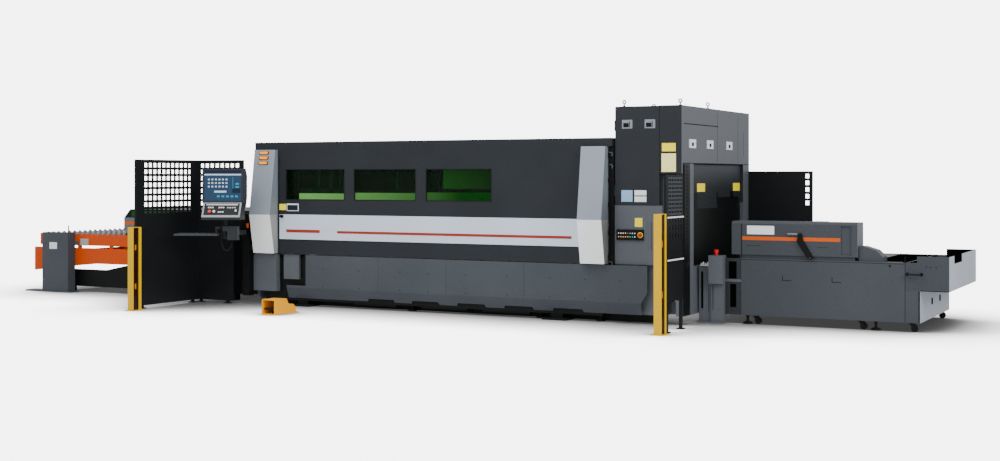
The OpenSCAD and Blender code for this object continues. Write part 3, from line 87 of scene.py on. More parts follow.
def coated(name, tone, rough=0.45, grain=0.12, metallic=0.0, second=None, mask=None, gloss=0.15):
    """Powder coat: a colour with fine speckle, soft clouding and a slight orange-peel bump.
    mask builds a node socket, from the tree, that is 1 where the second tone shows."""
    material = bpy.data.materials.new(name)
    material.use_nodes = True
    tree = material.node_tree
    shader = tree.nodes["Principled BSDF"]
    place = tree.nodes.new("ShaderNodeTexCoord").outputs["Object"]
    speck = tree.nodes.new("ShaderNodeTexNoise")
    speck.inputs["Scale"].default_value = 70.0
    speck.inputs["Detail"].default_value = 3.0
    cloud = tree.nodes.new("ShaderNodeTexNoise")
    cloud.inputs["Scale"].default_value = 1.3
    cloud.inputs["Detail"].default_value = 2.0
    for noise in (speck, cloud):
        tree.links.new(place, noise.inputs["Vector"])
    both = tree.nodes.new("ShaderNodeMath")
    both.operation = "ADD"
    tree.links.new(speck.outputs["Fac"], both.inputs[0])
    tree.links.new(cloud.outputs["Fac"], both.inputs[1])
    level = tree.nodes.new("ShaderNodeMapRange")
    level.inputs["From Min"].default_value = 0.6
    level.inputs["From Max"].default_value = 1.4
    level.inputs["To Min"].default_value = 1 - grain
    level.inputs["To Max"].default_value = 1 + grain
    tree.links.new(both.outputs[0], level.inputs["Value"])
    tint = tree.nodes.new("ShaderNodeMix")
    tint.data_type = "RGBA"
    tint.blend_type = "MULTIPLY"
    tint.inputs["Factor"].default_value = 1.0
    tint.inputs["A"].default_value = (*linear(tone), 1)
    tree.links.new(level.outputs["Result"], tint.inputs["B"])
    if second:
        pick = tree.nodes.new("ShaderNodeMix")
        pick.data_type = "RGBA"
        pick.inputs["A"].default_value = (*linear(tone), 1)
        pick.inputs["B"].default_value = (*linear(second), 1)
        tree.links.new(mask(tree, place), pick.inputs["Factor"])
        tree.links.new(pick.outputs["Result"], tint.inputs["A"])
    tree.links.new(tint.outputs["Result"], shader.inputs["Base Color"])
    sheen = tree.nodes.new("ShaderNodeMapRange")
    sheen.inputs["To Min"].default_value = rough - 0.06
    sheen.inputs["To Max"].default_value = rough + 0.06
    tree.links.new(cloud.outputs["Fac"], sheen.inputs["Value"])
    tree.links.new(sheen.outputs["Result"], shader.inputs["Roughness"])
    peel = tree.nodes.new("ShaderNodeBump")
    peel.inputs["Strength"].default_value = 0.06
    peel.inputs["Distance"].default_value = 0.002
    tree.links.new(speck.outputs["Fac"], peel.inputs["Height"])
    tree.links.new(peel.outputs["Normal"], shader.inputs["Normal"])
    shader.inputs["Metallic"].default_value = metallic
    shader.inputs["Specular IOR Level"].default_value = gloss
    return material


cable_rubber = coated("cable_rubber", "101112", rough=0.6, grain=0.2)
cable_curve = bpy.data.curves.new("cable_loop", "CURVE")
cable_curve.dimensions = "3D"
cable_curve.bevel_depth = CABLE_D / 2
cable_curve.bevel_resolution = 4
cable_curve.resolution_u = 8
strand = cable_curve.splines.new("BEZIER")
strand.bezier_points.add(len(CABLE_ROUTE) - 1)
for point, spot in zip(strand.bezier_points, CABLE_ROUTE):
    point.co = console_place @ (Vector(spot) / 1000)
    point.handle_left_type = "AUTO"
    point.handle_right_type = "AUTO"
cable_curve.materials.append(cable_rubber)
cable_loop = bpy.data.objects.new("cable_loop", cable_curve)
bpy.context.scene.collection.objects.link(cable_loop)
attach(cable_loop, "console")
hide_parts("console_cable")


# Bed, feet, rails and gantry: welded black beams on steel screws, with ground rails, a grey beam
# and an aluminium carriage and head inside the cabin. All are bolted together and stay in the dark.
def wear(node, material):
    """Gives a node of the frame its finish."""
    nodes[node].data.materials.clear()
    nodes[node].data.materials.append(material)


def brushed(name, tone, rough=0.35, along="X", metallic=0.9):
    """Bare metal with fine draw lines along one axis."""
    material = bpy.data.materials.new(name)
    material.use_nodes = True
    tree = material.node_tree
    shader = tree.nodes["Principled BSDF"]
    stretch = tree.nodes.new("ShaderNodeMapping")
    stretch.inputs["Scale"].default_value = [4.0 if axis == along else 400.0 for axis in "XYZ"]
    tree.links.new(tree.nodes.new("ShaderNodeTexCoord").outputs["Object"], stretch.inputs["Vector"])
    lines = tree.nodes.new("ShaderNodeTexNoise")
    lines.inputs["Scale"].default_value = 1.0
    lines.inputs["Detail"].default_value = 4.0
    tree.links.new(stretch.outputs["Vector"], lines.inputs["Vector"])
    tones = tree.nodes.new("ShaderNodeMix")
    tones.data_type = "RGBA"
    tones.inputs["A"].default_value = (*[c * 0.7 for c in linear(tone)], 1)
    tones.inputs["B"].default_value = (*[min(1, c * 1.25) for c in linear(tone)], 1)
    tree.links.new(lines.outputs["Fac"], tones.inputs["Factor"])
    tree.links.new(tones.outputs["Result"], shader.inputs["Base Color"])
    gloss = tree.nodes.new("ShaderNodeMapRange")
    gloss.inputs["To Min"].default_value = rough - 0.1
    gloss.inputs["To Max"].default_value = rough + 0.1
    tree.links.new(lines.outputs["Fac"], gloss.inputs["Value"])
    tree.links.new(gloss.outputs["Result"], shader.inputs["Roughness"])
    shader.inputs["Metallic"].default_value = metallic
    return material


black_enamel = coated("black_enamel", "0b0c0d", rough=0.5)
zinc_steel = brushed("zinc_steel", "5a5d60", rough=0.4, along="Z")
ground_steel = brushed("ground_steel", "a8abae", rough=0.3)
bright_alloy = brushed("bright_alloy", "c4c7ca", rough=0.32, along="Z")
grey_enamel = coated("grey_enamel", "51555a", rough=0.42)
# The bed frame's near-black is partly painted shade: it darkens the recess between the left lower
# covers, where the beam stands in shadow.
wear("bed_frame", black_enamel)
wear("levelling_feet", black_enamel)
wear("x_rails", ground_steel)
wear("gantry_beam", grey_enamel)
wear("head_carriage", bright_alloy)
wear("cutting_head", bright_alloy)


# Walls and roof: insulated grey panels on the corner posts, with a charcoal roof pan whose front
# edge stands behind the door's header. Handles on the rear panels show that they lift off.
def slab(bm, low, high, bevel=0.0):
    """A box between two corners, with its edges broken by the bevel."""
    middle = [(a + b) / 2 for a, b in zip(low, high)]
    size = [b - a for a, b in zip(low, high)]
    place = Matrix.Translation(middle) @ Matrix.Diagonal((*size, 1))
    made = bmesh.ops.create_cube(bm, size=1.0, matrix=place)
    if bevel:
        edges = list({e for v in made["verts"] for e in v.link_edges})
        bmesh.ops.bevel(bm, geom=edges, offset=bevel, offset_type="OFFSET", affect="EDGES",
                        segments=2, profile=0.5, material=-1)


def rod(bm, start, end, radius, sides=20):
    """A round bar between two points."""
    line = Vector(end) - Vector(start)
    turn = line.to_track_quat("Z", "Y").to_matrix().to_4x4()
    place = Matrix.Translation((Vector(start) + Vector(end)) / 2) @ turn
    bmesh.ops.create_cone(bm, cap_ends=True, segments=sides, radius1=radius, radius2=radius,
                          depth=line.length, matrix=place)


def piece(bm, name, body, material, place=None):
    """Turns a bmesh into a piece that rides on a body."""
    if place is not None:
        bmesh.ops.transform(bm, matrix=place, verts=bm.verts)
    bmesh.ops.recalc_face_normals(bm, faces=bm.faces)
    mesh = bpy.data.meshes.new(name)
    bm.to_mesh(mesh)
    bm.free()
    mesh.materials.append(material)
    made = bpy.data.objects.new(name, mesh)
    bpy.context.scene.collection.objects.link(made)
    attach(made, body)


charcoal_enamel = coated("charcoal_enamel", "26292d", rough=0.45, grain=0.18)
wear("left_wall", grey_enamel)
wear("rear_wall", grey_enamel)
wear("roof_cover", charcoal_enamel)
handle_black = coated("handle_black", "0c0d0e", rough=0.35, grain=0.1)
REAR_FACE = 1.25
HANDLE_Y = 1.275
HANDLE_HALF = 0.06
HANDLE_R = 0.008
bm = bmesh.new()
for x in (-2.0, -1.0, 0.0, 0.85, 1.9):
    for z in (0.55, 1.5):
        rod(bm, (x - HANDLE_HALF, HANDLE_Y, z), (x + HANDLE_HALF, HANDLE_Y, z), HANDLE_R)
        for end in (x - HANDLE_HALF, x + HANDLE_HALF):
            rod(bm, (end, REAR_FACE, z), (end, HANDLE_Y + HANDLE_R, z), HANDLE_R)
piece(bm, "rear_panel_handles", "machine", handle_black)


# Front skirt and lower covers: folded grey sheet screwed to the bed's front beam. Its panels meet
# at narrow dark seams, and rows of dark screw heads hold them.
wear("front_skirt", coated("skirt_enamel", "42474c", rough=0.42, grain=0.16))
wear("left_lower_covers", coated("lower_cover_enamel", "54595e", rough=0.42, grain=0.14))
SKIRT_FACE = -1.160
SEAM_XS = (-0.62, 0.35, 1.40)
SEAM_HALF = 0.0015
SEAM_LOW = 0.24
SEAM_HIGH = 0.65
SCREW_XS = (-1.45, -0.9, -0.3, 0.1, 0.62, 1.18, 1.74, 2.18, 2.61)
SCREW_ZS = (0.262, 0.48)
SCREW_R = 0.007


def on_front(bm, face, left, low, right, high, out=0.0005, sunk=0.002, bevel=0.0):
    """A thin sheet on a face that looks to the front, from out before it to sunk behind it."""
    slab(bm, (left, face - out, low), (right, face + sunk, high), bevel)


bm = bmesh.new()
for x in SEAM_XS:
    on_front(bm, SKIRT_FACE, x - SEAM_HALF, SEAM_LOW, x + SEAM_HALF, SEAM_HIGH)
for x in SCREW_XS:
    for z in SCREW_ZS:
        rod(bm, (x, SKIRT_FACE - 0.003, z), (x, SKIRT_FACE + 0.002, z), SCREW_R, sides=12)
piece(bm, "skirt_screws", "machine", coated("screw_grey", "25282b", rough=0.5))


# Pillar covers and status lamps: bowed sheet covers, silver grey above the fold and white below,
# clipped to the corner posts. Three amber lamps sit in dark rims on the left cover.
PILLAR_FOLD = 1.167


def past(axis, edge, blur=0.001):
    """Makes a mask that goes from 0 to 1 where the place passes an edge along an axis."""
    def mask(tree, place):
        split = tree.nodes.new("ShaderNodeSeparateXYZ")
        tree.links.new(place, split.inputs[0])
        step = tree.nodes.new("ShaderNodeMapRange")
        step.inputs["From Min"].default_value = edge - blur
        step.inputs["From Max"].default_value = edge + blur
        tree.links.new(split.outputs[axis], step.inputs["Value"])
        return step.outputs["Result"]
    return mask


def glowing(name, tone, strength, rough=0.3):
    """A lit plastic lens, and painted glow where it's used for the cabin's bars and the hood's panes:
    its colour, with a little light of its own and faint mottling.
    """
    material = coated(name, tone, rough=rough, grain=0.05)
    shader = material.node_tree.nodes["Principled BSDF"]
    shader.inputs["Emission Color"].default_value = (*linear(tone), 1)
    shader.inputs["Emission Strength"].default_value = strength
    return material


pillar_paint = coated("pillar_paint", "f2f4f5", rough=0.36, grain=0.06, second="88909a",
                      mask=past("Z", PILLAR_FOLD))


def painted_end_shade(material, keep_low, keep_high):
    """Paints shade on the faces that look to the right, along the machine: their tone drops to one share
    of the paint's own tone below the fold and to another above it."""
    tree = material.node_tree
    place = next(n for n in tree.nodes if n.type == "TEX_COORD").outputs["Object"]
    keep = tree.nodes.new("ShaderNodeMapRange")
    keep.inputs["To Min"].default_value = keep_low
    keep.inputs["To Max"].default_value = keep_high
    tree.links.new(past("Z", PILLAR_FOLD)(tree, place), keep.inputs["Value"])
    tint = next(n for n in tree.nodes if n.type == "MIX" and n.blend_type == "MULTIPLY")
    grain = tint.inputs["B"].links[0].from_socket
    split = tree.nodes.new("ShaderNodeSeparateXYZ")
    tree.links.new(tree.nodes.new("ShaderNodeNewGeometry").outputs["Normal"], split.inputs[0])
    shade = tree.nodes.new("ShaderNodeMapRange")
    shade.inputs["From Min"].default_value = 0.4
    shade.inputs["From Max"].default_value = 0.6
    shade.inputs["To Min"].default_value = 1.0
    tree.links.new(keep.outputs["Result"], shade.inputs["To Max"])
    tree.links.new(split.outputs["X"], shade.inputs["Value"])
    both = tree.nodes.new("ShaderNodeMath")
    both.operation = "MULTIPLY"
    tree.links.new(grain, both.inputs[0])
    tree.links.new(shade.outputs["Result"], both.inputs[1])
    tree.links.new(both.outputs[0], tint.inputs["B"])


# Painted shade: the pillar covers' right-facing faces are darkened in their colour.
painted_end_shade(pillar_paint, keep_low=0.32, keep_high=0.75)
wear("left_pillar_cover", pillar_paint)
wear("right_pillar_cover", pillar_paint)
wear("status_lamps", glowing("amber_lens", "f09a00", 0.7))
lamp_low, lamp_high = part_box("status_lamps")
lamp_x = (lamp_low.x + lamp_high.x) / 2
LAMP_ZS = (1.960, 1.895, 1.830)
PILLAR_TOP = 2.000
PILLAR_TOP_Y = -1.210
PILLAR_NOSE_Y = -1.325
PILLAR_LEAN = math.atan((PILLAR_TOP_Y - PILLAR_NOSE_Y) / (PILLAR_TOP - PILLAR_FOLD))
bm = bmesh.new()
for z in LAMP_ZS:
    face_y = PILLAR_TOP_Y - (PILLAR_TOP - z) * math.tan(PILLAR_LEAN)
    lean = Matrix.Translation((lamp_x, face_y, z)) @ Matrix.Rotation(-PILLAR_LEAN, 4, "X")
    settled = set(bm.verts)
    slab(bm, (-0.078, -0.008, -0.021), (0.078, 0.002, 0.021), bevel=0.007)
    bmesh.ops.transform(bm, matrix=lean, verts=[v for v in bm.verts if v not in settled])
piece(bm, "lamp_rims", "machine", coated("lamp_rim", "8a3c06", rough=0.4))


# Front door: one charcoal panel that lifts together with its header, with three laser-safe panes
# clamped from behind in dark rubber, a silver band with a plain red line, and a black knob.
DOOR_FACE = -1.160
BAND_FACE = -1.166
WINDOW_COUNT = 3
WINDOW_FIRST = -2.018
WINDOW_STEP = 1.045
WINDOW_L = 0.895
WINDOW_LOW = 1.363
WINDOW_HIGH = 1.744
SEAL_OUT = 0.006
SEAL_IN = 0.004
wear("front_door", charcoal_enamel)
wear("door_band", coated("band_silver", "c8d2e0", rough=0.34, grain=0.05, metallic=0.1))

pane_green = coated("pane_green", "06180a", rough=0.1, grain=0.3, gloss=0.12)
pane_green.node_tree.nodes["Principled BSDF"].inputs["Alpha"].default_value = 0.4
wear("door_windows", pane_green)

seam_black = coated("seam_black", "17191b", rough=0.7, grain=0.1)
bm = bmesh.new()
for k in range(WINDOW_COUNT):
    left = WINDOW_FIRST + WINDOW_STEP * k
    right = left + WINDOW_L
    for rect in ((left - SEAL_OUT, WINDOW_LOW - SEAL_OUT, right + SEAL_OUT, WINDOW_LOW + SEAL_IN),
                 (left - SEAL_OUT, WINDOW_HIGH - SEAL_IN, right + SEAL_OUT, WINDOW_HIGH + SEAL_OUT),
                 (left - SEAL_OUT, WINDOW_LOW, left + SEAL_IN, WINDOW_HIGH),
                 (right - SEAL_IN, WINDOW_LOW, right + SEAL_OUT, WINDOW_HIGH)):
        on_front(bm, DOOR_FACE, *rect, out=0.002, sunk=0.012)
piece(bm, "window_seals", "front_door_body", seam_black)

red_line = coated("red_line", "93332a", rough=0.4, grain=0.06)
bm = bmesh.new()
on_front(bm, BAND_FACE, -2.012, 0.941, -1.491, 0.979, out=0.0015)
on_front(bm, BAND_FACE, -1.227, 0.941, 2.015, 0.971, out=0.0015)
piece(bm, "band_line", "front_door_body", red_line)


def front_plate(name, body, face, rect, material, out=0.002, sunk=0.001, bevel=0.001):
    """A piece that is one plate on a face that looks to the front. rect holds its left, low,
    right and high edges."""
    bm = bmesh.new()
    on_front(bm, face, *rect, out=out, sunk=sunk, bevel=bevel)
    piece(bm, name, body, material)


plate_yellow = coated("plate_yellow", "ffea00", rough=0.4, grain=0.03)
plate_dark = coated("plate_dark", "1c2430", rough=0.4, grain=0.05)
plate_white = coated("plate_white", "e6e8ea", rough=0.4, grain=0.03)
front_plate("door_plate_yellow", "front_door_body", DOOR_FACE, (-2.124, 1.225, -2.020, 1.303),
            plate_yellow, sunk=0.002)
front_plate("door_plate_rim", "front_door_body", DOOR_FACE, (-2.009, 1.214, -1.823, 1.309),
            plate_white, sunk=0.002)
front_plate("door_plate_dark", "front_door_body", DOOR_FACE, (-1.999, 1.223, -1.833, 1.292),
            plate_dark, out=0.004, sunk=-0.001)
KNOB_X = -2.069
KNOB_Z = 1.146
bm = bmesh.new()
rod(bm, (KNOB_X, BAND_FACE - 0.038, KNOB_Z), (KNOB_X, BAND_FACE - 0.022, KNOB_Z), 0.022, sides=28)
rod(bm, (KNOB_X, BAND_FACE - 0.024, KNOB_Z), (KNOB_X, BAND_FACE + 0.001, KNOB_Z), 0.014)
piece(bm, "door_knob", "front_door_body", handle_black)


# Inside the cabin: a pale strip along the bed and panels behind the panes glow though they are no lamps,
# as painted light that gives the windows their green glow. Black brackets hold them on a black sheet
# that hangs from the roof and keeps the view through the panes dark, as painted shade.
def painted_glow_strip(name, tone, second, left, right, strength):
    """A green sheet that glows though it is no lamp, as painted light, and whose tone deepens from its
    left end to its right end.
    """
    material = coated(name, tone, rough=0.5, grain=0.05, second=second,
                      mask=past("X", (left + right) / 2, (right - left) / 2))
    tree = material.node_tree
    shader = tree.nodes["Principled BSDF"]
    tree.links.new(shader.inputs["Base Color"].links[0].from_socket, shader.inputs["Emission Color"])
    shader.inputs["Emission Strength"].default_value = strength
    return material


painted_glow_green = painted_glow_strip("painted_glow_green", "8fdc74", "004800", -1.9, 0.5, 1.3)
painted_glow_panel_green = painted_glow_strip("painted_glow_panel_green", "1f6a1a", "0d3a08", 0.3, 1.0, 0.5)
dim_painted_glow_green = glowing("dim_painted_glow_green", "16301a", 0.25)
SHIELD_FACE = -1.095
LIT_FACE = -1.075
BAR_FACE = -1.078
SHIELD_T = 0.012
SHIELD_LOW = 1.300
SHIELDS = ((-1.861, -1.130, 1.441), (-1.030, -0.060, 1.452), (0.040, 1.000, 1.462))
BARS = ((-1.885, 0.006), (-1.56, 0.02), (-1.38, 0.03), (-1.24, 0.012), (-0.39, 0.018), (0.205, 0.006))
BRACKET_XS = (-1.80, -1.20, -0.95, -0.15, 0.10, 0.92)
BRACKET_HALF = 0.02
bm = bmesh.new()
for left, right, top in SHIELDS:
    on_front(bm, SHIELD_FACE, left, SHIELD_LOW, right, top, out=0.0, sunk=SHIELD_T, bevel=0.002)
piece(bm, "inner_painted_glow_sheet", "machine", painted_glow_green)
front_plate("inner_painted_glow_panel", "machine", LIT_FACE, (0.262, 1.505, 1.000, 1.990), painted_glow_panel_green,
            out=0.0, sunk=SHIELD_T, bevel=0.002)
bm = bmesh.new()
for x, half in BARS:
    on_front(bm, BAR_FACE, x - half, 1.41, x + half, 1.995, out=0.0, sunk=SHIELD_T)
on_front(bm, BAR_FACE, -1.86, 1.441, -1.15, 1.500, out=0.0, sunk=SHIELD_T)
on_front(bm, BAR_FACE, -0.98, 1.452, -0.09, 1.482, out=0.0, sunk=SHIELD_T)
piece(bm, "inner_painted_glow_bars", "machine", dim_painted_glow_green)
# Painted shade: the black sheet behind the glowing pieces keeps the cabin dark behind the panes.
bm = bmesh.new()
for x in BRACKET_XS:
    slab(bm, (x - BRACKET_HALF, -1.084, 1.31), (x + BRACKET_HALF, -1.058, 1.35), bevel=0.002)
slab(bm, (-2.10, -1.0665, SHIELD_LOW), (2.10, -1.056, 2.00))
piece(bm, "painted_shade_sheet", "machine", black_enamel)


# Tower: a tall cabinet of grey sheet with near-black front panels. Its door has two paddle latches,
# its side three white latch plates and corner louvres, and blank plates are riveted to its front. A
# black conduit with grey clips runs up its left edge.
TOWER_FACE = -1.110
TOWER_SIDE = 3.330
TOWER_BLACK = "282b2f"
FASCIA_TOP = 1.333


def facing(axis, side):
    """Makes a mask that is 1 on faces that look along an axis, to its plus or minus side."""
    def mask(tree, place):
        split = tree.nodes.new("ShaderNodeSeparateXYZ")
        tree.links.new(tree.nodes.new("ShaderNodeNewGeometry").outputs["Normal"], split.inputs[0])
        step = tree.nodes.new("ShaderNodeMapRange")
        step.inputs["From Min"].default_value = 0.45 * side
        step.inputs["From Max"].default_value = 0.55 * side
        tree.links.new(split.outputs[axis], step.inputs["Value"])
        return step.outputs["Result"]
    return mask


def overlap(first, second):
    """Makes a mask that is 1 where two masks are."""
    def mask(tree, place):
        both = tree.nodes.new("ShaderNodeMath")
        both.operation = "MULTIPLY"
        tree.links.new(first(tree, place), both.inputs[0])
        tree.links.new(second(tree, place), both.inputs[1])
        return both.outputs[0]
    return mask


def on_side(bm, face, front, low, back, high, out=0.0005, sunk=0.002, bevel=0.0):
    """A thin sheet on a face that looks to the right, from sunk behind it to out before it."""
    slab(bm, (face - sunk, front, low), (face + out, back, high), bevel)


wear("tower_cabinet", coated("tower_paint", "55595f", rough=0.42, grain=0.12, second=TOWER_BLACK,
                             mask=overlap(facing("Y", -1), past("Z", FASCIA_TOP))))
wear("tower_front_door", coated("tower_black", TOWER_BLACK, rough=0.45, grain=0.18))
wear("laser_oscillator", coated("oscillator_paint", "a5a9ad", rough=0.45))
wear("side_latches", plate_white)
wear("lifting_eyes", zinc_steel)

bm = bmesh.new()
for y in (-0.768, -0.170, 0.530):
    on_side(bm, TOWER_SIDE, y - 0.022, 2.000, y + 0.022, 2.040, out=0.014, sunk=-0.008, bevel=0.002)
    on_side(bm, TOWER_SIDE, y - 0.004, 2.004, y + 0.006, 2.036, out=0.020, sunk=-0.008, bevel=0.002)
piece(bm, "side_latch_levers", "machine", handle_black)
LATCH_XS = (2.681, 2.955)
LATCH_Z = 2.246
bm = bmesh.new()
for x in LATCH_XS:
    on_front(bm, TOWER_FACE, x - 0.064, LATCH_Z - 0.050, x + 0.064, LATCH_Z + 0.050,
             out=0.002, sunk=0.010, bevel=0.004)
piece(bm, "door_latch_plates", "tower_door", coated("latch_grey", "7d838a", rough=0.35))
bm = bmesh.new()
for x in LATCH_XS:
    on_front(bm, TOWER_FACE, x - 0.045, LATCH_Z - 0.034, x + 0.020, LATCH_Z + 0.014,
             out=0.005, sunk=0.0, bevel=0.003)
    on_front(bm, TOWER_FACE, x + 0.026, LATCH_Z - 0.034, x + 0.034, LATCH_Z + 0.030,
             out=0.004, sunk=0.0)
piece(bm, "door_latch_paddles", "tower_door", handle_black)

plate_cream = coated("plate_cream", "fff2a0", rough=0.4, grain=0.03)
plate_blue = coated("plate_blue", "8fb0d4", rough=0.4, grain=0.05)
front_plate("column_plate_yellow", "machine", TOWER_FACE, (3.099, 1.937, 3.261, 2.028),
            plate_yellow)
front_plate("column_plate_cream", "machine", TOWER_FACE, (3.094, 1.708, 3.264, 1.913),
            plate_cream)
front_plate("tower_plate_blue", "tower_door", TOWER_FACE, (2.611, 1.371, 2.747, 1.502),
            plate_blue)
bm = bmesh.new()
for low, high in ((1.371, 1.432), (1.444, 1.502)):
    on_front(bm, TOWER_FACE, 2.770, low, 2.914, high, out=0.002, sunk=0.001, bevel=0.001)
piece(bm, "tower_plates_white", "tower_door", plate_white)
front_plate("fascia_plate_yellow", "machine", TOWER_FACE, (2.775, 1.090, 2.865, 1.190),
            plate_yellow)

bm = bmesh.new()
for rect in ((3.069, 1.69, 3.074, 2.446), (2.97, 0.832, 2.975, 1.144)):
    on_front(bm, TOWER_FACE, *rect)
for front, back, z in ((-1.029, 0.131, 2.247), (-1.069, 1.329, 1.806)):
    on_side(bm, TOWER_SIDE, front, z - 0.004, back, z + 0.004)
for y, low, high in ((0.103, 1.83, 2.40), (0.883, 1.83, 2.40), (1.10, 1.9, 2.2)):
    on_side(bm, TOWER_SIDE, y - 0.003, low, y + 0.003, high)
piece(bm, "tower_seams", "machine", seam_black)

COLLAR_ZS = (0.74, 1.02, 1.34, 1.62, 1.90)
COLLAR_HALF = 0.025
CLIP_ZS = (0.69, 1.792, 1.93)
bm = bmesh.new()
slab(bm, (2.464, -1.132, 0.672), (2.526, -1.068, 1.995), bevel=0.003)
for z in COLLAR_ZS:
    slab(bm, (2.460, -1.140, z - COLLAR_HALF), (2.529, -1.066, z + COLLAR_HALF), bevel=0.003)
piece(bm, "tower_conduit", "machine", black_enamel)
bm = bmesh.new()
for z in CLIP_ZS:
    slab(bm, (2.474, -1.146, z - 0.005), (2.516, -1.130, z + 0.005), bevel=0.002)
    slab(bm, (2.506, -1.146, z - 0.045), (2.516, -1.130, z + 0.005), bevel=0.002)
piece(bm, "conduit_clips", "machine", grey_enamel)

LOUVRE_FRONT = -1.067
LOUVRE_BACK = -0.846
LOUVRE_COUNT = 24
LOUVRE_FIRST = 0.78
LOUVRE_STEP = 0.0425
LOUVRE_H = 0.014
bm = bmesh.new()
on_side(bm, TOWER_SIDE, LOUVRE_FRONT, 0.105, LOUVRE_BACK, 1.803, out=0.003, sunk=0.001)
for k in range(LOUVRE_COUNT):
    z = LOUVRE_FIRST + k * LOUVRE_STEP
    on_side(bm, TOWER_SIDE, LOUVRE_FRONT + 0.120, z, LOUVRE_BACK - 0.012, z + LOUVRE_H,
            out=0.009, sunk=-0.002, bevel=0.002)
on_side(bm, TOWER_SIDE, LOUVRE_FRONT + 0.020, 0.70, LOUVRE_FRONT + 0.060, 1.79,
        out=0.012, sunk=-0.002, bevel=0.003)
piece(bm, "corner_louvres", "machine", handle_black)


# Control strip: a black panel on the tower's fascia with two rows of lit keys and a red mushroom
# stop in a yellow ring. The keys snap into the panel.
wear("control_strip", handle_black)
wear("panel_buttons", coated("key_cap", "2b2e31", rough=0.4, grain=0.06))
mushroom_red = coated("mushroom_red", "c4161c", rough=0.28, grain=0.05)
wear("tower_estop", mushroom_red)
strip_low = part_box("control_strip")[0]
stop_low, stop_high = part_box("tower_estop")
stop_x = (stop_low.x + stop_high.x) / 2
stop_z = (stop_low.z + stop_high.z) / 2
stop_r = (stop_high.x - stop_low.x) / 2


def ring(bm, middle, axis, inner, outer, thick, sides=32):
    """A flat washer about an axis, spun from its section."""
    turn = Vector(axis).to_track_quat("Z", "Y").to_matrix().to_4x4()
    place = Matrix.Translation(middle) @ turn
    corners = [(inner, 0, 0), (outer, 0, 0), (outer, 0, thick), (inner, 0, thick)]
    section = [bm.verts.new(place @ Vector(c)) for c in corners]
    edges = [bm.edges.new((section[k], section[(k + 1) % 4])) for k in range(4)]
    bmesh.ops.spin(bm, geom=section + edges, cent=middle, axis=turn @ Vector((0, 0, 1)), angle=math.tau,
                   steps=sides, use_merge=True, use_duplicate=False)


bm = bmesh.new()
ring(bm, (stop_x, strip_low.y - 0.001, stop_z), (0, -1, 0), stop_r + 0.0015, stop_r + 0.010, 0.0015)
piece(bm, "stop_ring", "machine", plate_yellow)
KEY_TONES = {"white": "d8dde0", "amber": "d8a85a", "teal": "1fae9a", "red": "d02028"}
KEY_ROWS = ((0.038, ("amber", "amber", "amber", "amber", "amber", "teal", "teal", "white")),
            (0.078, ("white", "white", "white", "white", "red", "teal", "white", "white")))
KEY_FIRST = 0.030
KEY_STEP = 0.028
KEY_HALF = 0.006
for shade, tone in KEY_TONES.items():
    bm = bmesh.new()
    for rise, row in KEY_ROWS:
        z = strip_low.z + rise
        for k, lamp in enumerate(row):
            if lamp == shade:
                x = strip_low.x + KEY_FIRST + k * KEY_STEP
                on_front(bm, strip_low.y, x - KEY_HALF, z - KEY_HALF, x + KEY_HALF, z + KEY_HALF,
                         out=0.0085, sunk=-0.006, bevel=0.001)
    piece(bm, "key_lamps_" + shade, "machine", glowing("key_lamp_" + shade, tone, 0.5))


# Tube shutter: a dark sheet that closes the tube passage between two guide posts. Two blank yellow
# plates are riveted to it, and black rubber sheets cover its lower half.
# Painted reflection: the shutter's dark paint turns to a paler grey above about 1.64 m, fading in over
# 0.12 m.
SHUTTER_REFLECTION_Z = 1.64
SHUTTER_REFLECTION_BLUR = 0.12
wear("tube_shutter", coated("shutter_paint_and_reflection", "1f2225", rough=0.5, grain=0.2, second="3a3e43",
                            mask=past("Z", SHUTTER_REFLECTION_Z, SHUTTER_REFLECTION_BLUR)))
shutter_low, shutter_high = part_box("tube_shutter")
shutter_face = shutter_high.x
RUBBER_TOP = 1.285
RUBBER_SHEETS = ((-0.700, shutter_low.z + 0.01, 1.060, RUBBER_TOP), (-0.600, RUBBER_TOP, -0.490, 1.470),
                 (0.220, RUBBER_TOP, 1.000, 1.410), (0.190, 1.400, 0.230, 1.470),
                 (0.690, 1.400, 0.800, 1.480))
bm = bmesh.new()
for front, back in ((-0.500, -0.230), (0.800, 1.060)):
    on_side(bm, shutter_face, front, 1.480, back, 1.576, out=0.002, sunk=0.001, bevel=0.0008)
piece(bm, "shutter_plates", "shutter", plate_yellow)
bm = bmesh.new()
for rect in RUBBER_SHEETS:
    on_side(bm, shutter_face, *rect, out=0.002, sunk=0.001)
piece(bm, "shutter_rubber", "shutter", handle_black)


# Tube index unit: a grey housing on casters with a long cover box. An orange line and a blank white
# plate run along the cover; its black support arm swings up from a pin on the housing's edge. The
# right-facing ends of the bin and of the cover, and the housing's right-facing sheet below the bin, are
# painted paler than the rest: painted light from the right.
PAINTED_LIGHT_TOP = 0.6
wear("tube_unit_base", coated("housing_enamel_painted_light", "3f4348", rough=0.42, grain=0.15, second="969da5",
                              mask=overlap(facing("X", 1), past("Z", PAINTED_LIGHT_TOP, -0.001))))
wear("end_bin", coated("bin_enamel_painted_light", "3b3f44", rough=0.42, grain=0.14, second="9aa1aa",
                       mask=facing("X", 1)))
wear("tube_cover", coated("cover_enamel_painted_light", "3e4247", rough=0.40, grain=0.14, second="5f646b",
                          mask=facing("X", 1)))
wear("tube_rails", ground_steel)
wear("chuck_carriage", grey_enamel)
wear("chuck", bright_alloy)
wear("support_arm", black_enamel)
wear("unit_handle", handle_black)
wear("casters", coated("caster_black", "111213", rough=0.55))
wear("pedestal", coated("pedestal_enamel", "54595e", rough=0.42, grain=0.14))
wear("pedestal_estop", mushroom_red)
UNIT_FACE = -0.560
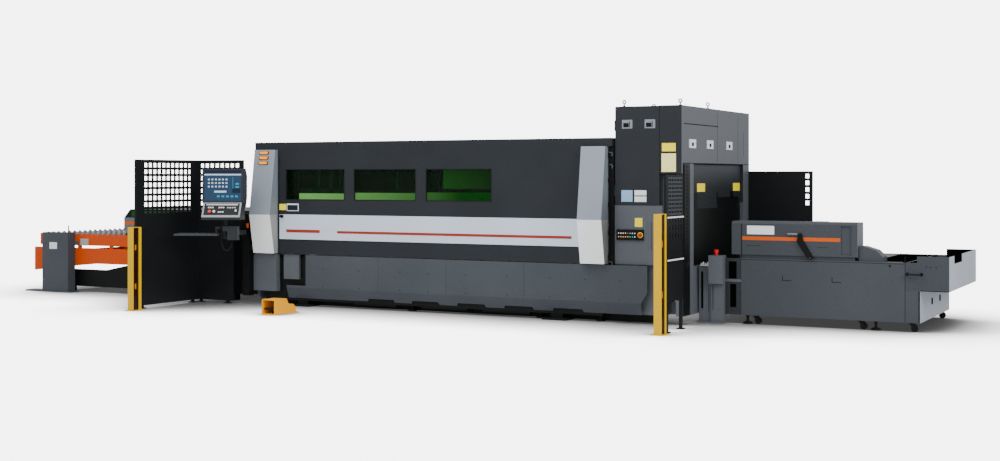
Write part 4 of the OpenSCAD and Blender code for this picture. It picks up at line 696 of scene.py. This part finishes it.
# The last two entries are painted shadow: dark lines down the left edge of the housing's end below the
# bin and along the bin's lower edge, where shade falls under the bin; the rest are seams.
UNIT_SEAMS_AND_SHADOW_LINES = ((5.636, 0.105, 5.642, 0.805), (3.836, 0.722, 5.636, 0.727), (3.891, 0.882, 4.059, 0.886),
              (4.699, 0.878, 4.810, 0.882), (5.778, 0.106, 5.7935, 0.436),
              (5.7945, 0.4405, 6.092, 0.449))
orange_line = coated("orange_line", "c9540f", rough=0.42, grain=0.06)
front_plate("cover_line", "machine", UNIT_FACE, (3.850, 0.945, 4.950, 0.985), orange_line,
            bevel=0.0)
front_plate("cover_plate", "machine", UNIT_FACE, (3.904, 1.010, 4.215, 1.106), plate_white)
bm = bmesh.new()
for rect in UNIT_SEAMS_AND_SHADOW_LINES:
    on_front(bm, UNIT_FACE, *rect)
for x in (4.311, 4.860):
    on_front(bm, UNIT_FACE, x - 0.004, 0.50, x + 0.004, 0.56)
    on_front(bm, UNIT_FACE, x - 0.004, 0.50, x + 0.100, 0.508)
on_front(bm, UNIT_FACE, 3.834, 0.752, 3.846, 1.124, sunk=0.006)
piece(bm, "unit_seams_and_shadow_lines", "machine", seam_black)
UNIT_SCREW_Z = 0.70
bm = bmesh.new()
for x, out, radius in ((5.48, 0.005, 0.012), (5.86, 0.004, 0.006), (5.90, 0.004, 0.006),
                       (5.96, 0.004, 0.006)):
    rod(bm, (x, UNIT_FACE - out, UNIT_SCREW_Z), (x, UNIT_FACE + 0.001, UNIT_SCREW_Z), radius)
piece(bm, "unit_screws", "machine", seam_black)

# Painted shade: flat black sheets stand for the shade inside the slots in the bin's end, the slots by
# the pedestal and the link, the trough and the bin.
painted_shade_black = coated("painted_shade_black", "050505", rough=0.7, gloss=0.0)
PEDESTAL_FACE = -0.600
LINK_FACE = -0.554
SLOTS = ((PEDESTAL_FACE, (3.378, 0.158, 3.402, 0.576)), (LINK_FACE, (3.706, 0.184, 3.776, 0.445)),
         (LINK_FACE, (3.690, 0.505, 3.780, 0.700)))
bm = bmesh.new()
for y in (0.12, 0.59):
    slab(bm, (5.786, y - 0.0255, 0.2505), (5.794, y + 0.0255, 0.3175))
    slab(bm, (5.7935, y - 0.040, 0.2490), (5.7955, y + 0.040, 0.3190), bevel=0.0005)
for face, rect in SLOTS:
    on_front(bm, face, *rect, out=0.0015, sunk=0.001, bevel=0.0005)
piece(bm, "unit_slot_shade", "machine", painted_shade_black)
# Painted shade: two dark panels between the pedestal and the housing, split at a shelf, stand for the
# shade there.
bm = bmesh.new()
for low, high in ((0.102, 0.471), (0.499, 0.736)):
    on_front(bm, LINK_FACE, 3.649, low, 3.836, high, out=0.0, sunk=0.005, bevel=0.001)
    on_front(bm, LINK_FACE, 3.649, low, 3.664, high, out=0.006, sunk=0.005, bevel=0.001)
piece(bm, "painted_shade_panel", "machine", coated("painted_shade_enamel", "2c2f33", rough=0.45, grain=0.14))

TROUGH_WALLS = ((5.2605, -0.468, 5.263, 1.098), (5.6075, -0.468, 5.6095, 1.098),
                (5.262, -0.4695, 5.608, -0.467), (5.262, 1.097, 5.608, 1.0995))
BIN_WALLS = ((5.6455, -0.553, 5.648, 1.183, 0.735), (5.647, -0.5545, 5.760, -0.552, 0.735),
             (5.764, -0.5545, 6.086, -0.552, 0.805), (5.764, 1.182, 6.086, 1.1845, 0.805))
bm = bmesh.new()
slab(bm, (5.262, -0.468, 0.6805), (5.608, 1.098, 0.684))
for left, front, right, back in TROUGH_WALLS:
    slab(bm, (left, front, 0.681), (right, back, 0.739))
slab(bm, (5.647, -0.553, 0.4455), (6.086, 1.183, 0.448))
for left, front, right, back, top in BIN_WALLS:
    slab(bm, (left, front, 0.446), (right, back, top))
slab(bm, (5.6095, -0.5545, 0.7395), (5.6460, 1.1845, 0.7415))
piece(bm, "trough_painted_shade", "machine", painted_shade_black)

arm_low, arm_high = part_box("support_arm")
grip_y = (arm_low.y + arm_high.y) / 2
grip_z = arm_high.z - 0.012
bm = bmesh.new()
rod(bm, (arm_low.x - 0.002, grip_y, grip_z), (arm_low.x + 0.110, grip_y, grip_z), 0.0123, sides=28)
rod(bm, (arm_low.x - 0.005, grip_y, grip_z), (arm_low.x - 0.002, grip_y, grip_z), 0.009, sides=28)
piece(bm, "arm_grip", "tube_support", coated("grip_grey", "6c7177", rough=0.45))
FITTING_Y = -0.575
bm = bmesh.new()
for k, x in enumerate((3.372, 3.396, 3.420, 3.446)):
    rod(bm, (x, FITTING_Y, 0.648), (x, FITTING_Y, 0.672 + 0.012 * (k % 2)), 0.009)
slab(bm, (3.360, FITTING_Y - 0.015, 0.6395), (3.470, FITTING_Y + 0.015, 0.650), bevel=0.002)
piece(bm, "service_fittings", "machine", plate_white)


# Shuttle table: black side plates and an orange frame carry an orange pallet of toothed steel slats.
# The entry hood has green side panes that glow though they are no lamps, as painted light, and an orange
# line; the drive stands in a grey housing.
orange_enamel = coated("orange_enamel", "c84807", rough=0.42, grain=0.10)
slat_steel = brushed("slat_steel", "92979c", rough=0.55, along="Y", metallic=0.2)
wear("table_base", black_enamel)
wear("table_frame", orange_enamel)
wear("pallet_frame", orange_enamel)
wear("pallet_slats", slat_steel)
wear("drive_housing", coated("drive_enamel", "464a50", rough=0.42, grain=0.14))
HOOD_SPLIT = 1.083
wear("entry_hood", coated("hood_enamel", "5f646a", rough=0.42, grain=0.14, second="0e0f10",
                          mask=past("Z", HOOD_SPLIT)))
wear("hood_windows", glowing("hood_green_painted_glow", "0c3f10", 0.35, rough=0.15))
DRIVE_FACE = -1.035
front_plate("drive_plate", "machine", DRIVE_FACE, (-6.300, 0.618, -6.155, 0.712), plate_white,
            sunk=0.004, bevel=0.002)
slats_low, slats_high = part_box("pallet_slats")
SLAT_T = 0.006
SLAT_HALF = 0.846
SLAT_COUNT = 31
TEETH = 16
TOOTH_H = 0.033
slat_pitch = (slats_high.x - slats_low.x - SLAT_T) / (SLAT_COUNT - 1)
slat_root = slats_high.z - TOOTH_H
bm = bmesh.new()
for k in range(SLAT_COUNT - 1):
    x = slats_low.x + (k + 0.5) * slat_pitch
    upright = (Matrix.Translation((x, 0, (slats_low.z + slat_root) / 2))
               @ Matrix.Rotation(math.radians(90), 4, "Y")
               @ Matrix.Diagonal((slat_root - slats_low.z, 2 * SLAT_HALF, 1, 1)))
    made = bmesh.ops.create_grid(bm, x_segments=1, y_segments=2 * TEETH, size=0.5, matrix=upright)
    tips = [v for v in made["verts"] if v.co.z > slat_root - 0.001
            and round((v.co.y + SLAT_HALF) / SLAT_HALF * TEETH) % 2]
    bmesh.ops.translate(bm, verts=tips, vec=(0, 0, TOOTH_H))
    faces = list({f for v in made["verts"] for f in v.link_faces})
    grown = bmesh.ops.extrude_face_region(bm, geom=faces)["geom"]
    far = [v for v in grown if isinstance(v, bmesh.types.BMVert)]
    bmesh.ops.translate(bm, verts=far, vec=(SLAT_T, 0, 0))
piece(bm, "slat_infill", "pallet", slat_steel)
hood_low, hood_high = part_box("entry_hood")
LINE_T = 0.002
bm = bmesh.new()
for face, out, sunk in ((hood_low.y, LINE_T, 0.0), (hood_high.y, 0.0, LINE_T)):
    on_front(bm, face, hood_low.x + 0.002, 0.985, hood_high.x - 0.01, 1.025, out=out, sunk=sunk)
piece(bm, "hood_line", "machine", orange_line)
PALLET_FACE = -0.890
front_plate("pallet_plate", "pallet", PALLET_FACE, (-5.843, 0.674, -5.690, 0.768),
            coated("bare_plate", "9fa49c", rough=0.4, grain=0.1), out=0.004, bevel=0.002)
PIN_X = -6.096
PIN_Y = -0.870
PIN_LOW = 0.834
bm = bmesh.new()
on_front(bm, PALLET_FACE, -6.008, 0.678, -5.935, 0.745, out=0.014, sunk=0.001, bevel=0.004)
on_front(bm, PALLET_FACE, -5.925, 0.678, -5.870, 0.735, out=0.010, sunk=0.001, bevel=0.004)
rod(bm, (PIN_X, PIN_Y, PIN_LOW), (PIN_X, PIN_Y, 0.950), 0.009)
rod(bm, (PIN_X, PIN_Y, PIN_LOW), (PIN_X, PIN_Y, 0.850), 0.018)
piece(bm, "pallet_catch", "pallet", grey_enamel)


# Guards: black perforated fences and yellow light-curtain posts, bolted to the floor. Dark lens strips
# with two amber markers stand in the posts' slots. A sheet guard closes the passage by the left pillar,
# and a ribbed black apron below the skirt is painted shade: it hides the floor under the machine.
fence_black = coated("fence_black", "131517", rough=0.5, grain=0.2)
post_yellow = coated("post_yellow", "d8ac00", rough=0.36, grain=0.06)
for panel in ("left_side_fence", "left_front_fence", "right_fence", "rear_fence"):
    wear(panel, fence_black)
for post in ("left_light_post", "right_light_post"):
    wear(post, post_yellow)
wear("light_curtains", coated("lens_red", "2a0f0c", rough=0.2, grain=0.1))
SLOT_MIDDLE = 0.078
bm = bmesh.new()
for post, marks in (("left_light_post", (0.30, 0.78)), ("right_light_post", (0.42, 0.95))):
    low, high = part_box(post)
    middle = low.y + SLOT_MIDDLE
    for z in marks:
        slab(bm, (high.x - 0.045, middle - 0.012, z - 0.034),
             (high.x - 0.040, middle + 0.012, z + 0.034), bevel=0.002)
piece(bm, "curtain_marks", "machine", glowing("curtain_mark", "b87414", 0.1))
RAIL_FACE = 3.439
bm = bmesh.new()
for z in (0.755, 1.210):
    on_side(bm, RAIL_FACE, -1.832, z + 0.003, -1.338, z + 0.019, out=0.0015, sunk=0.001)
piece(bm, "fence_rail_strips", "machine", plate_white)
bm = bmesh.new()
slab(bm, (3.4215, -1.790, 0.988), (3.4249, -1.379, 1.646))
piece(bm, "fence_pane", "machine", coated("pane_dark", "1b1d20", rough=0.3, grain=0.1))
FENCE_SLATS = 10
FENCE_SLAT_FIRST = 1.246
FENCE_SLAT_STEP = 0.0425
bm = bmesh.new()
for k in range(FENCE_SLATS):
    z = FENCE_SLAT_FIRST + k * FENCE_SLAT_STEP
    slab(bm, (3.4305, -1.795, z), (3.4345, -1.372, z + 0.020), bevel=0.0015)
for y in (-1.700, -1.585, -1.470):
    slab(bm, (3.4305, y - 0.004, 1.240), (3.4330, y + 0.004, 1.655))
piece(bm, "fence_slats", "machine", coated("slat_grey", "393d42", rough=0.5, grain=0.1))
bm = bmesh.new()
slab(bm, (-3.394, -1.2685, 0.02), (-3.378, -1.264, 1.868), bevel=0.001)
piece(bm, "fence_corner_strip", "machine", grey_enamel)
GUARD_LOW = 0.110
GUARD_HIGH = 0.880
bm = bmesh.new()
slab(bm, (-3.300, -1.022, GUARD_LOW), (-2.520, -1.016, GUARD_HIGH), bevel=0.002)
slab(bm, (-2.545, -1.022, GUARD_LOW), (-2.517, -0.980, GUARD_HIGH), bevel=0.002)
piece(bm, "passage_guard", "machine", fence_black)
# Painted shade: a ribbed black apron hides the floor under the skirt.
APRON_RIBS = 28
APRON_FIRST = -2.40
APRON_STEP = 0.2
bm = bmesh.new()
slab(bm, (-2.440, -0.962, 0.004), (3.050, -0.957, 0.120), bevel=0.001)
for k in range(APRON_RIBS):
    x = APRON_FIRST + k * APRON_STEP
    slab(bm, (x - 0.004, -0.966, 0.006), (x + 0.004, -0.956, 0.119))
piece(bm, "painted_shade_apron", "machine", cable_rubber)


# Console: a charcoal monitor and sloped key desk on a swing arm. The screen shows a plain status
# page of bars and tiles; the desk has a silver rim, rows of keys, a stop and a dial.
wear("console_mast", black_enamel)
wear("console_arm", charcoal_enamel)
wear("console_head", coated("console_charcoal", "2b2e31", rough=0.45, grain=0.12))
wear("console_tray", coated("tray_grey", "3c4044", rough=0.45))
wear("console_screen", glowing("screen_blue", "22364c", 0.5, rough=0.15))
button_orange = coated("button_orange", "d85a10", rough=0.35, grain=0.06)
bm = bmesh.new()
slab(bm, (-2.562, -1.288, 0.990), (-2.530, -1.269, 1.050), bevel=0.004)
rod(bm, (-2.546, -1.300, 1.030), (-2.546, -1.286, 1.030), 0.009)
piece(bm, "mast_button", "machine", button_orange)
SCREEN_FACE = -0.110
SCREEN_LEFT = -0.234
SCREEN_LOW = 1.349
SCREEN_W = 0.468
TILE_STEP = 0.045
BAR_STEP = 0.058


def on_screen(bm, left, low, right, high):
    """A tile on the screen, given in metres from the screen's lower left corner."""
    on_front(bm, SCREEN_FACE, SCREEN_LEFT + left, SCREEN_LOW + low, SCREEN_LEFT + right,
             SCREEN_LOW + high, out=0.001, sunk=0.001)


bm = bmesh.new()
on_screen(bm, 0.0, 0.322, SCREEN_W, 0.340)
on_screen(bm, 0.125, 0.105, 0.280, 0.128)
for row in range(3):
    for column in range(6):
        left = 0.045 + column * TILE_STEP
        low = 0.170 + row * TILE_STEP
        on_screen(bm, left, low, left + 0.023, low + 0.020)
piece(bm, "screen_tiles", "console", glowing("tile_white", "a9b9c9", 0.4), console_place)
bm = bmesh.new()
for k in range(5):
    left = 0.16 + k * BAR_STEP
    on_screen(bm, left, 0.045, left + 0.035, 0.068)
on_screen(bm, 0.36, 0.12, 0.365, 0.30)
on_screen(bm, 0.395, 0.165, 0.440, 0.185)
on_screen(bm, 0.395, 0.205, 0.440, 0.225)
piece(bm, "screen_bars", "console", glowing("bar_cyan", "2f8098", 0.4), console_place)
bm = bmesh.new()
on_screen(bm, 0.0, 0.346, SCREEN_W, 0.384)
on_screen(bm, 0.355, 0.100, 0.460, 0.155)
piece(bm, "screen_head", "console", glowing("bar_dark", "14202f", 0.3), console_place)

DESK_MIDDLE = (0, -0.1705, 1.2345)
DESK_SLOPE = math.atan2(0.184, 0.120)
DESK_FACE = 0.008
DESK_KEY_TOP = 0.014
DESK_KEY_STEP = 0.026
DESK_KEY = 0.020
desk_place = console_place @ Matrix.Translation(DESK_MIDDLE) @ Matrix.Rotation(DESK_SLOPE, 4, "X")
rim_silver = coated("rim_silver", "8f949a", rough=0.35, grain=0.06)
key_white = coated("key_white", "c3c7ca", rough=0.4, grain=0.05)
stop_orange = coated("stop_orange", "d0481c", rough=0.3, grain=0.05)
bm = bmesh.new()
slab(bm, (-0.243, -0.108, -0.004), (0.243, 0.108, 0.006), bevel=0.003)
piece(bm, "desk_rim", "console", rim_silver, desk_place)
bm = bmesh.new()
slab(bm, (-0.222, -0.078, 0.004), (0.222, 0.094, 0.009), bevel=0.002)
piece(bm, "desk_panel", "console", handle_black, desk_place)
bm = bmesh.new()
slab(bm, (-0.200, 0.066, DESK_FACE), (0.200, 0.082, 0.010))
for first, low in ((-0.175, 0.020), (-0.040, 0.020), (-0.040, -0.045)):
    for k in range(3):
        left = first + k * DESK_KEY_STEP
        slab(bm, (left, low, DESK_FACE), (left + DESK_KEY, low + DESK_KEY, DESK_KEY_TOP), bevel=0.002)
for k in range(4):
    left = 0.070 + k * 0.030
    slab(bm, (left, 0.020, DESK_FACE), (left + 0.018, 0.038, DESK_KEY_TOP), bevel=0.002)
rod(bm, (-0.090, -0.030, DESK_FACE), (-0.090, -0.030, 0.022), 0.017)
rod(bm, (0.185, -0.020, DESK_FACE), (0.185, -0.020, 0.024), 0.014)
piece(bm, "desk_keys", "console", key_white, desk_place)
bm = bmesh.new()
rod(bm, (-0.145, -0.034, DESK_FACE), (-0.145, -0.034, 0.030), 0.020)
piece(bm, "desk_stop", "console", stop_orange, desk_place)


# Foot switch: a yellow cast hood over a black treadle, on a rubber base that lies on the floor.
# The treadle turns on a pin through the hood's walls and springs back.
wear("foot_switch_hood", coated("cast_yellow", "f5a800", rough=0.4, grain=0.08))
wear("foot_pedal", coated("treadle_black", "141516", rough=0.6))


# Studio: a white floor with soft contact shadows and soft light from above and from the right.
# The floor and the backdrop aren't part of the machine.
FLOOR_HALF = 60.0
SHADOW_REACH = 1.5
SHADOW_POWER = 4.2
SHADOW_DARK = 0.06
SEEN_WHITE = 6.0
HALL_LIGHT = 0.9


def seen_and_lit(tree, seen, lit, surface):
    """Shows the camera one shader and lights the scene with another."""
    pick = tree.nodes.new("ShaderNodeMixShader")
    ray = tree.nodes.new("ShaderNodeLightPath")
    tree.links.new(ray.outputs["Is Camera Ray"], pick.inputs[0])
    tree.links.new(lit.outputs[0], pick.inputs[1])
    tree.links.new(seen.outputs[0], pick.inputs[2])
    tree.links.new(pick.outputs[0], surface)


bm = bmesh.new()
bmesh.ops.create_grid(bm, x_segments=1, y_segments=1, size=FLOOR_HALF)
floor_mesh = bpy.data.meshes.new("floor")
bm.to_mesh(floor_mesh)
bm.free()
floor_white = coated("floor_white", "dcdee0", rough=0.9, grain=0.01, gloss=0.0)
tree = floor_white.node_tree
# Painted shadow: what the camera sees of the floor is a white glow darkened by ambient occlusion near
# the machine.
near = tree.nodes.new("ShaderNodeAmbientOcclusion")
near.samples = 16
near.inputs["Distance"].default_value = SHADOW_REACH
fade = tree.nodes.new("ShaderNodeMath")
fade.operation = "POWER"
fade.inputs[1].default_value = SHADOW_POWER
tree.links.new(near.outputs["AO"], fade.inputs[0])
reach = tree.nodes.new("ShaderNodeMapRange")
reach.inputs["To Min"].default_value = SHADOW_DARK
reach.inputs["To Max"].default_value = SEEN_WHITE
tree.links.new(fade.outputs[0], reach.inputs["Value"])
white = tree.nodes.new("ShaderNodeEmission")
tree.links.new(reach.outputs["Result"], white.inputs["Strength"])
seen_and_lit(tree, white, tree.nodes["Principled BSDF"], tree.nodes["Material Output"].inputs["Surface"])
floor_mesh.materials.append(floor_white)
floor = bpy.data.objects.new("floor", floor_mesh)
bpy.context.scene.collection.objects.link(floor)

world = bpy.data.worlds.new("hall")
world.use_nodes = True
tree = world.node_tree
hall = tree.nodes["Background"]
hall.inputs["Color"].default_value = (1, 1, 1, 1)
hall.inputs["Strength"].default_value = HALL_LIGHT
backdrop = tree.nodes.new("ShaderNodeBackground")
backdrop.inputs["Color"].default_value = (1, 1, 1, 1)
backdrop.inputs["Strength"].default_value = SEEN_WHITE
seen_and_lit(tree, backdrop, hall, tree.nodes["World Output"].inputs["Surface"])
bpy.context.scene.world = world


def softbox(name, place, aim, size, power):
    """A large square lamp that looks at a point."""
    lamp = bpy.data.lights.new(name, "AREA")
    lamp.size = size
    lamp.energy = power
    made = bpy.data.objects.new(name, lamp)
    made.location = place
    made.rotation_euler = (Vector(aim) - Vector(place)).to_track_quat("-Z", "Y").to_euler()
    bpy.context.scene.collection.objects.link(made)


softbox("top_box", (0, -6, 9), (0, 0, 0.8), 8, 900)
softbox("right_box", (14, -6, 6), (3, 0, 1), 5, 900)
